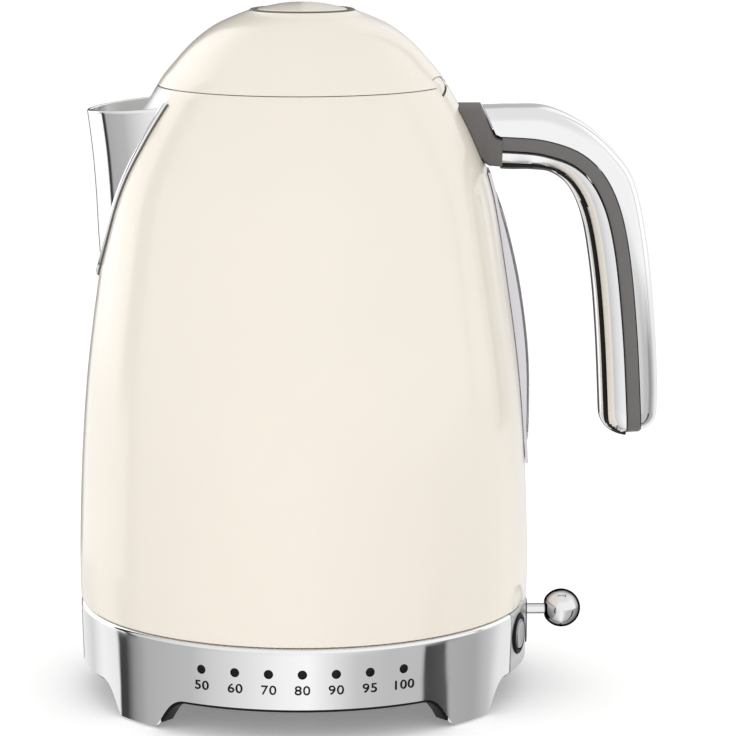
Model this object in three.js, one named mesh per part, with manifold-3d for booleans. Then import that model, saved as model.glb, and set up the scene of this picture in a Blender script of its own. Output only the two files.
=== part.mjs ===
// A cordless electric kettle with a variable-temperature power base.
// Millimetres, +Z up. The table is z = 0 and the body is turned about the axis x = bodyAxisX.

import * as THREE from 'three';
import { mergeVertices } from 'three/addons/utils/BufferGeometryUtils.js';
import Module from 'manifold-3d';

const wasm = await Module();
wasm.setup();

// ---- driving dimensions ----

const bodyRadius = 87.3;              // widest radius of the enamelled body
const handleReach = 137.5;            // body axis to the outside of the handle
const bodyAxisX = (bodyRadius - handleReach) / 2;
const gap = 0.3;                      // clearance between touching pieces
const sheet = 1.2;                    // thickness of the body's steel
const turnSegments = 36;              // facets round the large turned pieces
const mediumSegments = 20;            // facets round the connector, the button and their like
const smallSegments = 12;             // facets round pins and small buttons

// base
const skirtRadius = 87.1;
const skirtInner = 85.5;
const skirtBottom = 0.9;
const skirtTop = 35.9;
const chassisOuter = skirtInner - gap;
const chassisInner = 81.6;
const footInner = 79.5;
const chassisBottom = 2.5;
const chassisTop = 31.7;
const archTop = 12.7;
const frontArchAngle = 41.0;          // half the front and rear arches at the feet, degrees
const sideArchAngle = 37.5;           // half the side arches at the feet, degrees
const padHeight = 2.2;
const coverTop = 11.8;                // top of the plate that closes the base below
const deckBottom = 32.0;
const deckTop = 33.4;
const deckRimTop = 35.6;
const deckRadius = 83.8;
const panelHalfWidth = 36.1;
const lightSpacing = 12.5;
const lightTurn = -0.5;               // the row of lights sits a little to the left, degrees
const lightHeight = 26.2;
const lightRadius = 1.6;
const buttonAngle = 18;               // from the lever to each button, degrees
const buttonHeight = 25.8;
const buttonRadius = 5.8;
const bezelRadius = 7.8;
const buttonFace = 88.0;

// lever
const leverPivotX = 52;
const leverPivotZ = 28.6;
const leverTilt = 0.4;                // rise of the stem along its length
const stemRadius = 2;
const knobRadius = 7.5;
const knobX = 101.2;
const pinRadius = 1.2;
const pinBore = 1.5;
const hubRadius = 2.8;
const leverSpringX = 62;
const bracketTop = 13.9;

// connector between base and kettle
const towerRadius = 15.9;
const towerTop = 45.5;
const socketTop = 47;

// body
const bodyBottom = 36.5;
const bodyTop = 235.6;
const plateHeight = 51;               // underside of the heated floor
const neckRadius = 48.6;

// lid
const lidBottom = 236.2;
const lidHoleRadius = 20.3;
const capRadius = 17.6;
const capTop = 266.8;
const plugRadius = 47;
const plugBottom = 230;
const hingeX = 50.8;
const hingeZ = 236;
const hingeNotchHalf = 21.5;
const barrelHalf = 12;
const pinHalf = 17;
const knuckleRadius = 3.2;
const lidNotch = 3.5;                 // round the hinge axis, in the lid's skin
const bodyNotch = 4.15;               // and in the body's rim

// spout, an upright oval tube that the narrowing body lets out
const spoutAxisX = -52;
const spoutHalfWidth = 27.5;
const spoutWall = 1.3;
const spoutTipX = 82.3;
const spoutTipZ = 226.2;
const spoutRimSlope = 0.1;

// handle
const handleWidth = 25;
const shellWall = 1.6;

// ---- materials ----

function material(name, colour, roughness, metalness, opacity = 1) {
  return new THREE.MeshStandardMaterial({
    name, color: colour, roughness, metalness, opacity, transparent: opacity < 1,
  });
}

const enamel = material('enamel', 0xf0e8d6, 0.15, 0);
const polishedSteel = material('polished_steel', 0xd8d8da, 0.08, 1);
const satinSteel = material('satin_steel', 0xb9b9bb, 0.35, 1);
const greyPlastic = material('grey_plastic', 0x74726d, 0.5, 0);
const blackPlastic = material('black_plastic', 0x1b1b1c, 0.45, 0);
const clearPlastic = material('clear_plastic', 0xcfd6d8, 0.08, 0, 0.35);
const silicone = material('silicone', 0x8f8f8d, 0.7, 0);
const brass = material('brass', 0xb99a52, 0.3, 1);
const circuitBoard = material('circuit_board', 0x1f4a32, 0.5, 0);
const lightWindow = material('light_window', 0x101012, 0.2, 0);

// ---- solids ----

function signedVolume(positions, triangles) {
  const a = new THREE.Vector3();
  const b = new THREE.Vector3();
  const c = new THREE.Vector3();
  let volume = 0;
  for (let i = 0; i < triangles.length; i += 3) {
    a.fromArray(positions, 3 * triangles[i]);
    b.fromArray(positions, 3 * triangles[i + 1]);
    c.fromArray(positions, 3 * triangles[i + 2]);
    volume += a.dot(b.cross(c)) / 6;
  }
  return volume;
}

// A closed geometry as a solid that can be joined and cut, with its faces pointing out.
function solid(geometry) {
  const bare = geometry.clone();
  bare.deleteAttribute('normal');
  bare.deleteAttribute('uv');
  const merged = mergeVertices(bare, 1e-4);
  const vertProperties = new Float32Array(merged.attributes.position.array);
  const kept = [];
  const index = merged.index.array;
  for (let i = 0; i < index.length; i += 3) {
    const [p, q, r] = [index[i], index[i + 1], index[i + 2]];
    if (p !== q && q !== r && r !== p) kept.push(p, q, r);
  }
  const triVerts = new Uint32Array(kept);
  if (signedVolume(vertProperties, triVerts) < 0) triVerts.reverse();
  return new wasm.Manifold(new wasm.Mesh({ numProp: 3, vertProperties, triVerts }));
}

function geometryOf(shape) {
  const mesh = shape.getMesh();
  const geometry = new THREE.BufferGeometry();
  const positions = new Float32Array(mesh.vertProperties);
  geometry.setAttribute('position', new THREE.BufferAttribute(positions, 3));
  geometry.setIndex(new THREE.BufferAttribute(new Uint32Array(mesh.triVerts), 1));
  geometry.computeVertexNormals();
  return geometry;
}

// The largest piece of a cut solid, without the slivers that a cut may leave.
function largest(shape) {
  const pieces = shape.decompose();
  pieces.sort((a, b) => b.volume() - a.volume());
  return pieces[0];
}

// A turned solid about +Z from [radius, height] points.
function turned(points, segments = turnSegments) {
  const profile = points.map(([r, z]) => new THREE.Vector2(r, z));
  const onAxis = profile[0].x === 0 && profile[profile.length - 1].x === 0;
  if (!onAxis) profile.push(profile[0].clone());
  return solid(new THREE.LatheGeometry(profile, segments).rotateX(Math.PI / 2));
}

function box(x0, x1, y0, y1, z0, z1) {
  const geometry = new THREE.BoxGeometry(x1 - x0, y1 - y0, z1 - z0);
  return solid(geometry.translate((x0 + x1) / 2, (y0 + y1) / 2, (z0 + z1) / 2));
}

// A straight round bar between two points.
function bar(radius, from, to, segments = smallSegments) {
  const start = new THREE.Vector3(...from);
  const run = new THREE.Vector3(...to).sub(start);
  const geometry = new THREE.CylinderGeometry(radius, radius, run.length(), segments);
  const turn = new THREE.Quaternion().setFromUnitVectors(new THREE.Vector3(0, 1, 0), run.clone().normalize());
  geometry.applyQuaternion(turn);
  return solid(geometry.translate(...start.addScaledVector(run, 0.5).toArray()));
}

// A side outline of [x, z] points, carried across from -halfWidth to +halfWidth in y.
function slab(points, halfWidth) {
  const outline = new THREE.Shape(points.map(([x, z]) => new THREE.Vector2(x, z)));
  const geometry = new THREE.ExtrudeGeometry(outline, { depth: 2 * halfWidth, bevelEnabled: false });
  return solid(geometry.translate(0, 0, -halfWidth).rotateX(Math.PI / 2));
}

// The same, kept inset from the outline, with its long edges rounded: acrossY along y and inPlane
// towards the middle of the outline.
function roundedSlab(points, width, acrossY, inPlane, inset) {
  const outline = new THREE.Shape(points.map(([x, z]) => new THREE.Vector2(x, z)));
  const depth = width - 2 * inset - 2 * acrossY;
  const geometry = new THREE.ExtrudeGeometry(outline, {
    depth,
    bevelEnabled: true,
    bevelThickness: acrossY,
    bevelSize: inPlane,
    bevelOffset: -inPlane - inset,
    bevelSegments: 3,
  });
  return solid(geometry.translate(0, 0, -depth / 2).rotateX(Math.PI / 2));
}

// Turns a solid built towards +X to face another way round the axis.
function facing(shape, degrees) {
  return shape.rotate([0, 0, degrees]);
}

// ---- the body's outline ----

const outlineCurve = new THREE.SplineCurve([
  [85.3, 36.5], [86.8, 38.2], [87.2, 42], [87.3, 55], [86.1, 90], [83.5, 125], [78.9, 160],
  [73.0, 195], [65.3, 217], [55.1, 236], [49.0, 244], [41.6, 252], [33.7, 258], [25.7, 261.8],
  [19.6, 264.1],
].map(([r, z]) => new THREE.Vector2(r, z)));
function radiusOnCurve(height) {
  const samples = outlineCurve.getPoints(280);
  const above = Math.max(samples.findIndex((p) => p.y >= height), 1);
  const [low, high] = [samples[above - 1], samples[above]];
  return THREE.MathUtils.mapLinear(height, low.y, high.y, low.x, high.x);
}

// The turned surface bends at these heights, closer together over the shoulder and the lid.
const outline = [
  36.5, 38.2, 42, 55, 90, 122, 148, 168, 185, 199, 211, 222, 229.5, 236.2, 243, 249.5, 255, 259, 262, 263.9,
].map((height) => [radiusOnCurve(height), height]);

function radiusAt(height) {
  const above = Math.max(outline.findIndex(([, z]) => z >= height), 1);
  const [low, high] = [outline[above - 1], outline[above]];
  return THREE.MathUtils.mapLinear(height, low[1], high[1], low[0], high[0]);
}

// [radius, height] points up the outline, moved sideways and up by fixed amounts.
function outlineBetween(bottom, top, sideways = 0, up = 0) {
  const between = outline.map(([, z]) => z).filter((z) => z > bottom && z < top);
  return [bottom, ...between, top].map((z) => [radiusAt(z) + sideways, z + up]);
}

// Everything inside the body's surface, grown sideways.
function bodyBlock(growth) {
  const side = outlineBetween(55, bodyTop, growth);
  return turned([[0, 30], [bodyRadius + growth, 30], ...side, [0, bodyTop]]);
}

// A curved strip that follows the body's surface, between two distances from it.
function bodyBand(inside, outside, bottom, top) {
  const outer = outlineBetween(bottom, top, outside);
  const inner = outlineBetween(bottom, top, inside).reverse();
  return turned([...outer, ...inner]);
}

// ---- the model ----

const model = new THREE.Group();
model.position.x = bodyAxisX;

function add(name, shape, look) {
  const mesh = new THREE.Mesh(geometryOf(shape), look);
  mesh.name = name;
  model.add(mesh);
}

// ---- power base ----

// The space under one arch: its outline is wrapped round the base and carried inwards.
function archSpace(footAngle, direction) {
  const foot = THREE.MathUtils.degToRad(footAngle) * skirtRadius;
  const flank = new THREE.CubicBezierCurve(
    new THREE.Vector2(foot, 0),
    new THREE.Vector2(foot - 4.8, 3),
    new THREE.Vector2(foot - 6.8, archTop),
    new THREE.Vector2(foot - 15.2, archTop),
  ).getPoints(5);
  const flatSteps = 8;
  const right = [new THREE.Vector2(foot, -5), ...flank];
  const top = [];
  for (let i = 1; i < flatSteps; i += 1) {
    top.push(new THREE.Vector2((foot - 15.2) * (1 - 2 * i / flatSteps), archTop));
  }
  const left = right.map((p) => new THREE.Vector2(-p.x, p.y)).reverse();
  const outline = new THREE.Shape([...right, ...top, ...left]);
  const geometry = new THREE.ExtrudeGeometry(outline, { depth: 24, bevelEnabled: false });
  const position = geometry.attributes.position;
  const innerRadius = 70;
  for (let i = 0; i < position.count; i += 1) {
    const angle = position.getX(i) / skirtRadius;
    const radius = innerRadius + position.getZ(i);
    position.setXYZ(i, radius * Math.cos(angle), radius * Math.sin(angle), position.getY(i));
  }
  return facing(solid(geometry), direction);
}

function cutArches(shape, drop) {
  let cut = shape;
  for (const [angle, direction] of [
    [frontArchAngle, -90], [frontArchAngle, 90], [sideArchAngle, 0], [sideArchAngle, 180],
  ]) {
    cut = cut.subtract(archSpace(angle, direction).translate([0, 0, -drop]));
  }
  return cut;
}

const lightAngles = [];
for (let i = -3; i <= 3; i += 1) {
  const across = THREE.MathUtils.radToDeg(Math.asin(i * lightSpacing / skirtRadius));
  lightAngles.push(across - 90 + lightTurn);
}

function cutLightHoles(shape, radius) {
  let cut = shape;
  for (const angle of lightAngles) {
    cut = cut.subtract(facing(bar(radius, [70, 0, lightHeight], [95, 0, lightHeight], 16), angle));
  }
  return cut;
}

function baseSkirt() {
  const wall = turned([
    [skirtInner, skirtBottom], [86.6, skirtBottom], [skirtRadius, 30],
    [skirtRadius, 34.6], [86.2, skirtTop], [skirtInner, skirtTop],
  ]);
  const panelGap = box(60, 95, -panelHalfWidth - gap, panelHalfWidth + gap, -5, 40);
  return cutLightHoles(cutArches(wall, 0).subtract(panelGap), lightRadius + 0.1);
}

function controlPanel() {
  const wall = turned([
    [skirtInner, archTop], [86.8, archTop], [skirtRadius, 30],
    [skirtRadius, 34.6], [86.2, skirtTop], [skirtInner, skirtTop],
  ]);
  let panel = wall.intersect(box(60, 95, -panelHalfWidth, panelHalfWidth, 0, 40));
  for (const side of [-1, 1]) {
    const hole = bar(bezelRadius + gap, [75, 0, buttonHeight], [95, 0, buttonHeight]);
    panel = panel.subtract(facing(hole, side * buttonAngle));
  }
  return panel.subtract(slotShape(3.9, 14.9, 33.5, 80, 92));
}

// An upright slot with round ends, cut along X.
function slotShape(halfWidth, bottom, top, x0, x1) {
  const outline = new THREE.Shape();
  outline.moveTo(halfWidth, bottom + halfWidth);
  outline.lineTo(halfWidth, top - halfWidth);
  outline.absarc(0, top - halfWidth, halfWidth, 0, Math.PI, false);
  outline.lineTo(-halfWidth, bottom + halfWidth);
  outline.absarc(0, bottom + halfWidth, halfWidth, Math.PI, 2 * Math.PI, false);
  const geometry = new THREE.ExtrudeGeometry(outline, {
    depth: x1 - x0, bevelEnabled: false, curveSegments: 8,
  });
  return solid(geometry.rotateX(Math.PI / 2).rotateZ(Math.PI / 2).translate(x0, 0, 0));
}

function baseChassis() {
  const wall = turned([
    [footInner, chassisBottom], [chassisOuter, chassisBottom], [chassisOuter, chassisTop],
    [chassisInner, chassisTop], [chassisInner, 12.6], [footInner, 12.6],
  ]);
  const window = box(60, 95, -35.4, 35.4, 14.5, 40);
  return cutLightHoles(cutArches(wall, 1.3).subtract(window), lightRadius + gap);
}

function baseDeck() {
  return turned([
    [towerRadius + 0.4, deckBottom], [deckRadius, deckBottom], [deckRadius, deckRimTop], [78, deckRimTop],
    [75.5, deckTop], [towerRadius + 0.4, deckTop],
  ]);
}

function baseBottomCover() {
  return turned([[0, 10.2], [footInner - gap, 10.2], [footInner - gap, coverTop], [0, coverTop]]);
}

function baseConnector() {
  return turned([
    [0, 28], [22, 28], [22, deckBottom - gap], [towerRadius, deckBottom - gap],
    [towerRadius, 44.5], [14.9, towerTop], [13, towerTop], [13, 35.5], [11, 35.5],
    [11, towerTop], [2.2, towerTop], [2.2, 35.5], [0, 35.5],
  ], mediumSegments);
}

function contactRing() {
  return turned([[11.3, 35.8], [11.9, 35.8], [11.9, 43], [11.3, 43]], mediumSegments);
}

function powerBase() {
  add('base_skirt', largest(baseSkirt()), polishedSteel);
  add('control_panel', largest(controlPanel()), satinSteel);
  add('base_chassis', largest(baseChassis()), blackPlastic);
  add('base_deck', baseDeck(), blackPlastic);
  add('base_bottom_cover', baseBottomCover(), blackPlastic);
  add('base_connector', baseConnector(), blackPlastic);
  add('connector_contact_ring', contactRing(), brass);
  const footAngle = 46.75;
  const places = [['front_right', footAngle - 90], ['front_left', -90 - footAngle],
    ['rear_right', 90 - footAngle], ['rear_left', 90 + footAngle]];
  for (const [place, angle] of places) {
    add(`foot_pad_${place}`, facing(box(80, 84.8, -5.2, 5.2, 0, padHeight), angle), silicone);
  }
  lightAngles.forEach((angle, i) => {
    const pipe = bar(lightRadius, [79.9, 0, lightHeight], [86.9, 0, lightHeight], 16);
    add(`temperature_light_${i + 1}`, facing(pipe, angle), lightWindow);
  });
  add('control_board', box(-34, 34, -72, -46, 20, 21.6), circuitBoard);
  const gland = bar(4.2, [0, 55, 5.6], [0, 69, 5.6]).subtract(bar(3.3, [0, 50, 5.6], [0, 75, 5.6]));
  add('cord_gland', gland, blackPlastic);
}

// ---- lever and buttons ----

function leverArm() {
  const hub = bar(hubRadius, [leverPivotX, -4.6, leverPivotZ], [leverPivotX, 4.6, leverPivotZ]);
  const stem = bar(stemRadius, [leverPivotX + 1, 0, leverPivotZ], [98.2, 0, leverPivotZ + leverTilt]);
  const bore = bar(pinBore, [leverPivotX, -9, leverPivotZ], [leverPivotX, 9, leverPivotZ]);
  return hub.add(stem).subtract(bore);
}

function leverKnob() {
  const ball = solid(new THREE.SphereGeometry(knobRadius, 18, 10).rotateX(Math.PI / 2));
  const centre = [knobX, 0, leverPivotZ + 0.5];
  const flat = box(80, 94.6, -9, 9, 10, 50);
  const socket = bar(stemRadius + gap, [90, 0, leverPivotZ + leverTilt], [98.6, 0, leverPivotZ + leverTilt]);
  return ball.translate(centre).subtract(flat).subtract(socket);
}

function leverBracket() {
  const plate = box(44, 66, -7.5, 7.5, coverTop + gap, bracketTop);
  const cheeks = box(48.5, 55.5, -7.5, 7.5, 13, 31.4).subtract(box(40, 70, -5, 5, bracketTop, 40));
  const bore = bar(pinBore, [leverPivotX, -9, leverPivotZ], [leverPivotX, 9, leverPivotZ]);
  return plate.add(cheeks).subtract(bore);
}

// A round-wire coil spring standing on +Z.
class Coil extends THREE.Curve {
  constructor(radius, bottom, top, turns) {
    super();
    Object.assign(this, { radius, bottom, top, turns });
  }

  getPoint(t, target = new THREE.Vector3()) {
    const angle = 2 * Math.PI * this.turns * t;
    const height = THREE.MathUtils.lerp(this.bottom, this.top, t);
    return target.set(this.radius * Math.cos(angle), this.radius * Math.sin(angle), height);
  }
}

function spring(radius, wire, bottom, top, turns) {
  const section = new THREE.Shape().absarc(0, 0, wire, 0, 2 * Math.PI, false);
  const path = new Coil(radius, bottom + wire, top - wire, turns);
  const geometry = new THREE.ExtrudeGeometry(section, {
    steps: 8 * turns, curveSegments: 2, extrudePath: path, bevelEnabled: false,
  });
  return solid(geometry);
}

function panelButton() {
  return turned([
    [0, 78], [buttonRadius, 78], [buttonRadius, buttonFace - 0.6], [buttonRadius - 0.6, buttonFace],
    [0, buttonFace],
  ], smallSegments);
}

function panelBezel() {
  return turned([
    [buttonRadius + 0.4, 84.4], [bezelRadius, 84.4], [bezelRadius, 87.3], [bezelRadius - 0.4, 87.7],
    [buttonRadius + 0.8, 87.7], [buttonRadius + 0.4, 87.3],
  ], smallSegments);
}

// Lays a turned piece down so that it points outwards through the panel.
function throughPanel(shape, degrees) {
  return facing(shape.rotate([0, 90, 0]).translate([0, 0, buttonHeight]), degrees);
}

function controls() {
  add('lever_arm', leverArm(), polishedSteel);
  add('lever_knob', leverKnob(), polishedSteel);
  add('lever_bracket', leverBracket(), blackPlastic);
  const leverPin = bar(pinRadius, [leverPivotX, -7.3, leverPivotZ], [leverPivotX, 7.3, leverPivotZ]);
  add('lever_pin', leverPin, satinSteel);
  const leverSpring = spring(2.4, 0.35, bracketTop + gap, leverPivotZ - stemRadius - gap, 5);
  add('lever_spring', leverSpring.translate([leverSpringX, 0, 0]), satinSteel);
  add('lever_switch', box(69, 79, -3.4, 3.4, coverTop + gap, 18.6), blackPlastic);
  const slotBezel = slotShape(3.6, 15.2, 33.2, 84.2, 87.5).subtract(slotShape(2.5, 16.4, 32, 80, 92));
  add('lever_slot_bezel', slotBezel, blackPlastic);
  add('temperature_button_bezel', throughPanel(panelBezel(), -buttonAngle), blackPlastic);
  add('warm_button_bezel', throughPanel(panelBezel(), buttonAngle), blackPlastic);
  add('temperature_button', throughPanel(panelButton(), -buttonAngle), polishedSteel);
  add('warm_button', throughPanel(panelButton(), buttonAngle), polishedSteel);
}

// ---- spout ----

const spoutNose = new THREE.SplineCurve([
  [77.7, 150], [77.9, 165], [78.7, 180], [79.4, 196], [80.5, 211], [spoutTipX, spoutTipZ], [83, 231],
].map(([x, z]) => new THREE.Vector2(x, z)));
const noseSamples = spoutNose.getPoints(80);

function noseAt(height) {
  const above = noseSamples.findIndex((p) => p.y >= height);
  const low = noseSamples[Math.max(above - 1, 0)];
  const high = noseSamples[Math.max(above, 1)];
  return THREE.MathUtils.mapLinear(height, low.y, high.y, low.x, high.x);
}

// An oval column round the spout's own axis, with its front on the nose line.
function spoutColumn(growFront, growSide, bottom, top) {
  const halfWidth = spoutHalfWidth + growSide;
  const outline = [new THREE.Vector2(0, bottom)];
  const steps = 6;
  for (let i = 0; i <= steps; i += 1) {
    outline.push(new THREE.Vector2(halfWidth, THREE.MathUtils.lerp(bottom, top, i / steps)));
  }
  outline.push(new THREE.Vector2(0, top));
  const geometry = new THREE.LatheGeometry(outline, 32).rotateX(Math.PI / 2);
  const position = geometry.attributes.position;
  for (let i = 0; i < position.count; i += 1) {
    const reach = noseAt(position.getZ(i)) + spoutAxisX + growFront;
    position.setX(i, spoutAxisX + position.getX(i) * reach / halfWidth);
  }
  return solid(geometry);
}

// The space above the spout's sloping rim.
function aboveRim() {
  const lift = spoutRimSlope * 60;
  return slab([
    [-95, spoutTipZ - 1.2], [-95, 250], [-35, 250], [-35, spoutTipZ - 1.2 + lift],
  ], 50);
}

function spoutPieces() {
  const channel = spoutColumn(-spoutWall, -spoutWall, 150, 231);
  const whole = spoutColumn(0, 0, 150, 231);
  const spout = whole.subtract(channel).subtract(bodyBlock(gap)).subtract(aboveRim());
  add('spout', largest(spout.intersect(box(-90, -45, -40, 40, 140, 240))), polishedSteel);
  const band = bodyBand(gap, 1.3, 150, 229).intersect(box(-90, -45, -40, 40, 140, 229));
  const trim = band.intersect(spoutColumn(0.9, 3.4, 150, 231)).subtract(spoutColumn(gap, gap, 150, 231));
  add('spout_trim', largest(trim), polishedSteel);
}

// ---- body ----

// A round bar on the hinge's axis.
function alongHinge(radius, halfLength) {
  return bar(radius, [hingeX, -halfLength, hingeZ], [hingeX, halfLength, hingeZ]);
}

function bodyShell() {
  const outer = outlineBetween(bodyBottom, bodyTop);
  const inner = outlineBetween(42, bodyTop, -sheet).reverse();
  inner.push([radiusAt(bodyBottom) - sheet, bodyBottom]);
  const pouringHole = spoutColumn(-6, -7, 188, 222).intersect(box(-90, -50, -30, 30, 180, 230));
  const sightSlot = box(60, 95, -3.6, 3.6, 100, 195);
  const screwHole = bar(2.3, [50, 0, 216], [90, 0, 216]);
  return turned([...outer, ...inner]).subtract(alongHinge(bodyNotch, hingeNotchHalf))
    .subtract(pouringHole).subtract(sightSlot).subtract(screwHole);
}

function filterFrame() {
  const wall = bodyBand(-4.2, -sheet - gap, 184, 226).intersect(box(-90, -40, -24, 24, 185, 225));
  return wall.subtract(box(-90, -40, -20, 20, 190, 220));
}

function filterMesh() {
  return bodyBand(-3.2, -2.6, 184, 226).intersect(box(-90, -40, -19.7, 19.7, 190.3, 219.7));
}

// Everything just inside the surface of body and lid near the seam.
function underSkin() {
  return turned([[0, 228], ...outlineBetween(228, 250, -gap), [0, 250]]);
}

function neckRing() {
  const clear = sheet + 0.4;
  const ring = turned([[neckRadius, 228.5], [radiusAt(228.5) - clear, 228.5],
    [radiusAt(231.5) - clear, 231.5], [radiusAt(234.6) - clear, 234.6], [neckRadius, 234.6]]);
  const eyes = alongHinge(knuckleRadius, hingeNotchHalf - gap).intersect(underSkin());
  const webs = box(48.9, 52.4, -19.2, 19.2, 230, hingeZ);
  const middle = box(40, 60, -barrelHalf - 0.4, barrelHalf + 0.4, 231, 245);
  const ears = eyes.add(webs).subtract(middle);
  return ring.subtract(alongHinge(bodyNotch, hingeNotchHalf)).add(ears).subtract(alongHinge(pinBore, 25));
}

function kettleBottomCover() {
  return turned([[21.3, 36.0], [83.6, 36.0], [83.6, 44], [82.2, 44], [82.2, 37.5], [21.3, 37.5]]);
}

function kettleConnector() {
  return turned([
    [0, 37.5], [1.6, 37.5], [1.6, socketTop], [12.2, socketTop], [12.2, 37.5], [12.7, 37.5],
    [12.7, socketTop], [16.6, socketTop], [16.6, 36.3], [21, 36.3], [21, 50.6], [0, 50.6],
  ], mediumSegments);
}

function heatingElement() {
  return turned([[44, 45.5], [48, 44], [52, 45.5], [52, 50.7], [44, 50.7]], mediumSegments);
}

function kettleBody() {
  add('body_shell', largest(bodyShell()), enamel);
  spoutPieces();
  add('filter_frame', largest(filterFrame()), greyPlastic);
  add('filter_mesh', largest(filterMesh()), satinSteel);
  add('neck_ring', largest(neckRing()), greyPlastic);
  add('hinge_pin', alongHinge(pinRadius, pinHalf), satinSteel);
  add('element_plate', turned([[0, plateHeight], [83.4, plateHeight], [83.4, 52.2], [0, 52.2]]), satinSteel);
  add('plate_seal', turned([[83.7, 50], [85.7, 50], [85.7, 53], [83.7, 53]]), silicone);
  add('heating_element', heatingElement(), satinSteel);
  add('temperature_probe', bar(4, [-32, 0, 40], [-32, 0, 50.7]), brass);
  add('kettle_bottom_cover', kettleBottomCover(), blackPlastic);
  add('kettle_connector', kettleConnector(), blackPlastic);
}

// ---- water gauge ----

function gaugePieces() {
  const crest = new THREE.SplineCurve([
    [66, 206], [70.7, 202], [76, 190], [80.7, 173], [84.3, 155], [87, 133], [87.6, 113], [86.9, 97],
    [83.5, 91],
  ].map(([x, z]) => new THREE.Vector2(x, z))).getPoints(16);
  const crescent = [...crest.map((p) => [p.x, p.y]), [60, 91], [60, 206]];
  const whole = roundedSlab([[60, 91], ...crest.map((p) => [p.x, p.y]).reverse(), [60, 206]], 13, 2, 2, 0);
  const window = whole.subtract(bodyBlock(gap)).intersect(box(40, 95, -9, 9, 80, 201));
  add('gauge_window', largest(window), clearPlastic);
  const frameBand = bodyBand(gap, 1.6, 88, 206).intersect(box(40, 95, -9, 9, 89, 202.4));
  const inside = slab(crescent.map(([x, z]) => [x + gap, z]), 6.5 + gap);
  const frame = frameBand.subtract(inside);
  add('gauge_frame', largest(frame), satinSteel);
}

// ---- handle ----

const handleOuterEdge = [
  [72, 227.6], [80, 227.8], [94.1, 227], [109.2, 219.6], [121.6, 208], [128.2, 196.4],
  [133, 173.1], [136.1, 143.7], [handleReach, 120], [handleReach - 0.1, 108.5],
];
const handleInnerEdge = [
  [116.3, 108.5], [114.8, 137.9], [112.6, 163], [108.9, 184.5], [103.4, 197], [95.9, 203.1],
  [88, 204.4], [80, 204.5], [72, 204.8],
];
const handleStripLine = [
  [58, 214], [77, 213.6], [93, 212], [106.5, 206.5], [115.8, 195], [121.7, 175.1], [125.7, 139.8],
  [128.2, 95],
];

function curvePoints(points, count) {
  const curve = new THREE.SplineCurve(points.map(([x, z]) => new THREE.Vector2(x, z)));
  return curve.getPoints(count).map((p) => [p.x, p.y]);
}

// The whole handle's side outline, with its free lower end rounded.
function handleOutline() {
  const end = new THREE.CubicBezierCurve(
    new THREE.Vector2(...handleOuterEdge[handleOuterEdge.length - 1]),
    new THREE.Vector2(137, 98.2),
    new THREE.Vector2(117.6, 97.2),
    new THREE.Vector2(...handleInnerEdge[0]),
  ).getPoints(7).slice(1, -1).map((p) => [p.x, p.y]);
  const hidden = [[56, 204.8], [56, 227.4]];
  return [...curvePoints(handleOuterEdge, 14), ...end, ...curvePoints(handleInnerEdge, 11), ...hidden];
}

// The stretch to one side of the strip line: side +1 is outside the bend, -1 inside it.
function besideStrip(side, distance) {
  const line = new THREE.SplineCurve(handleStripLine.map(([x, z]) => new THREE.Vector2(x, z)));
  const edge = [];
  const steps = 14;
  for (let i = 0; i <= steps; i += 1) {
    const point = line.getPoint(i / steps);
    const along = line.getTangent(i / steps);
    edge.push([point.x - side * along.y * distance, point.y + side * along.x * distance]);
  }
  const far = side > 0 ? [[150, 80], [150, 240], [58, 240]] : [[90, 80], [58, 190]];
  return slab([...edge, ...far], 30);
}

function handlePieces() {
  const outline = handleOutline();
  const whole = roundedSlab(outline, handleWidth, 9.5, 7, 0);
  const inside = roundedSlab(outline, handleWidth, 8.4, 5.2, shellWall);
  const filling = roundedSlab(outline, handleWidth, 8.4, 4.9, shellWall + gap);
  const beyondMount = slab([
    [68.7, 240], [68.7, 228.1], [73.5, 217.4], [76, 216.2], [76, 80], [150, 80], [150, 240],
  ], 20);
  const screwWay = bar(2.3, [50, 0, 216], [96, 0, 216]);
  const wall = whole.subtract(inside).intersect(beyondMount);
  const halfStrip = 2.6;
  add('handle_outer_shell', largest(wall.intersect(besideStrip(1, halfStrip + gap))), polishedSteel);
  add('handle_inner_shell', largest(wall.intersect(besideStrip(-1, halfStrip + gap))), polishedSteel);
  const strip = whole.subtract(besideStrip(1, halfStrip)).subtract(besideStrip(-1, halfStrip));
  const core = filling.add(strip).intersect(beyondMount).subtract(screwWay);
  add('handle_core', largest(core), greyPlastic);
  const mountOutline = [
    [55, 227.7], [68.5, 227.7], [73.1, 217.2], [75.7, 215.9], [75.7, 204.6], [71.2, 205],
    [68, 207.6], [60, 212.6], [55, 212.6],
  ];
  const mount = roundedSlab(mountOutline, 27, 5, 1.5, 0).subtract(bodyBlock(gap)).subtract(screwWay);
  add('handle_mount', largest(mount), greyPlastic);
  const head = bar(4, [58.2, 0, 216], [60.8, 0, 216]);
  add('handle_screw', head.add(bar(2, [60, 0, 216], [94, 0, 216])), satinSteel);
}

// ---- lid ----

function lidShell() {
  const outer = outlineBetween(lidBottom, 263.9);
  const inner = outlineBetween(lidBottom + 1.3, 263.9, -1, -1.3).reverse();
  const [, topHeight] = outer[outer.length - 1];
  outer.push([lidHoleRadius, topHeight]);
  const hole = bar(lidHoleRadius, [0, 0, 240], [0, 0, 280], mediumSegments);
  return turned([...outer, ...inner]).subtract(alongHinge(lidNotch, hingeNotchHalf)).subtract(hole);
}

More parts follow.
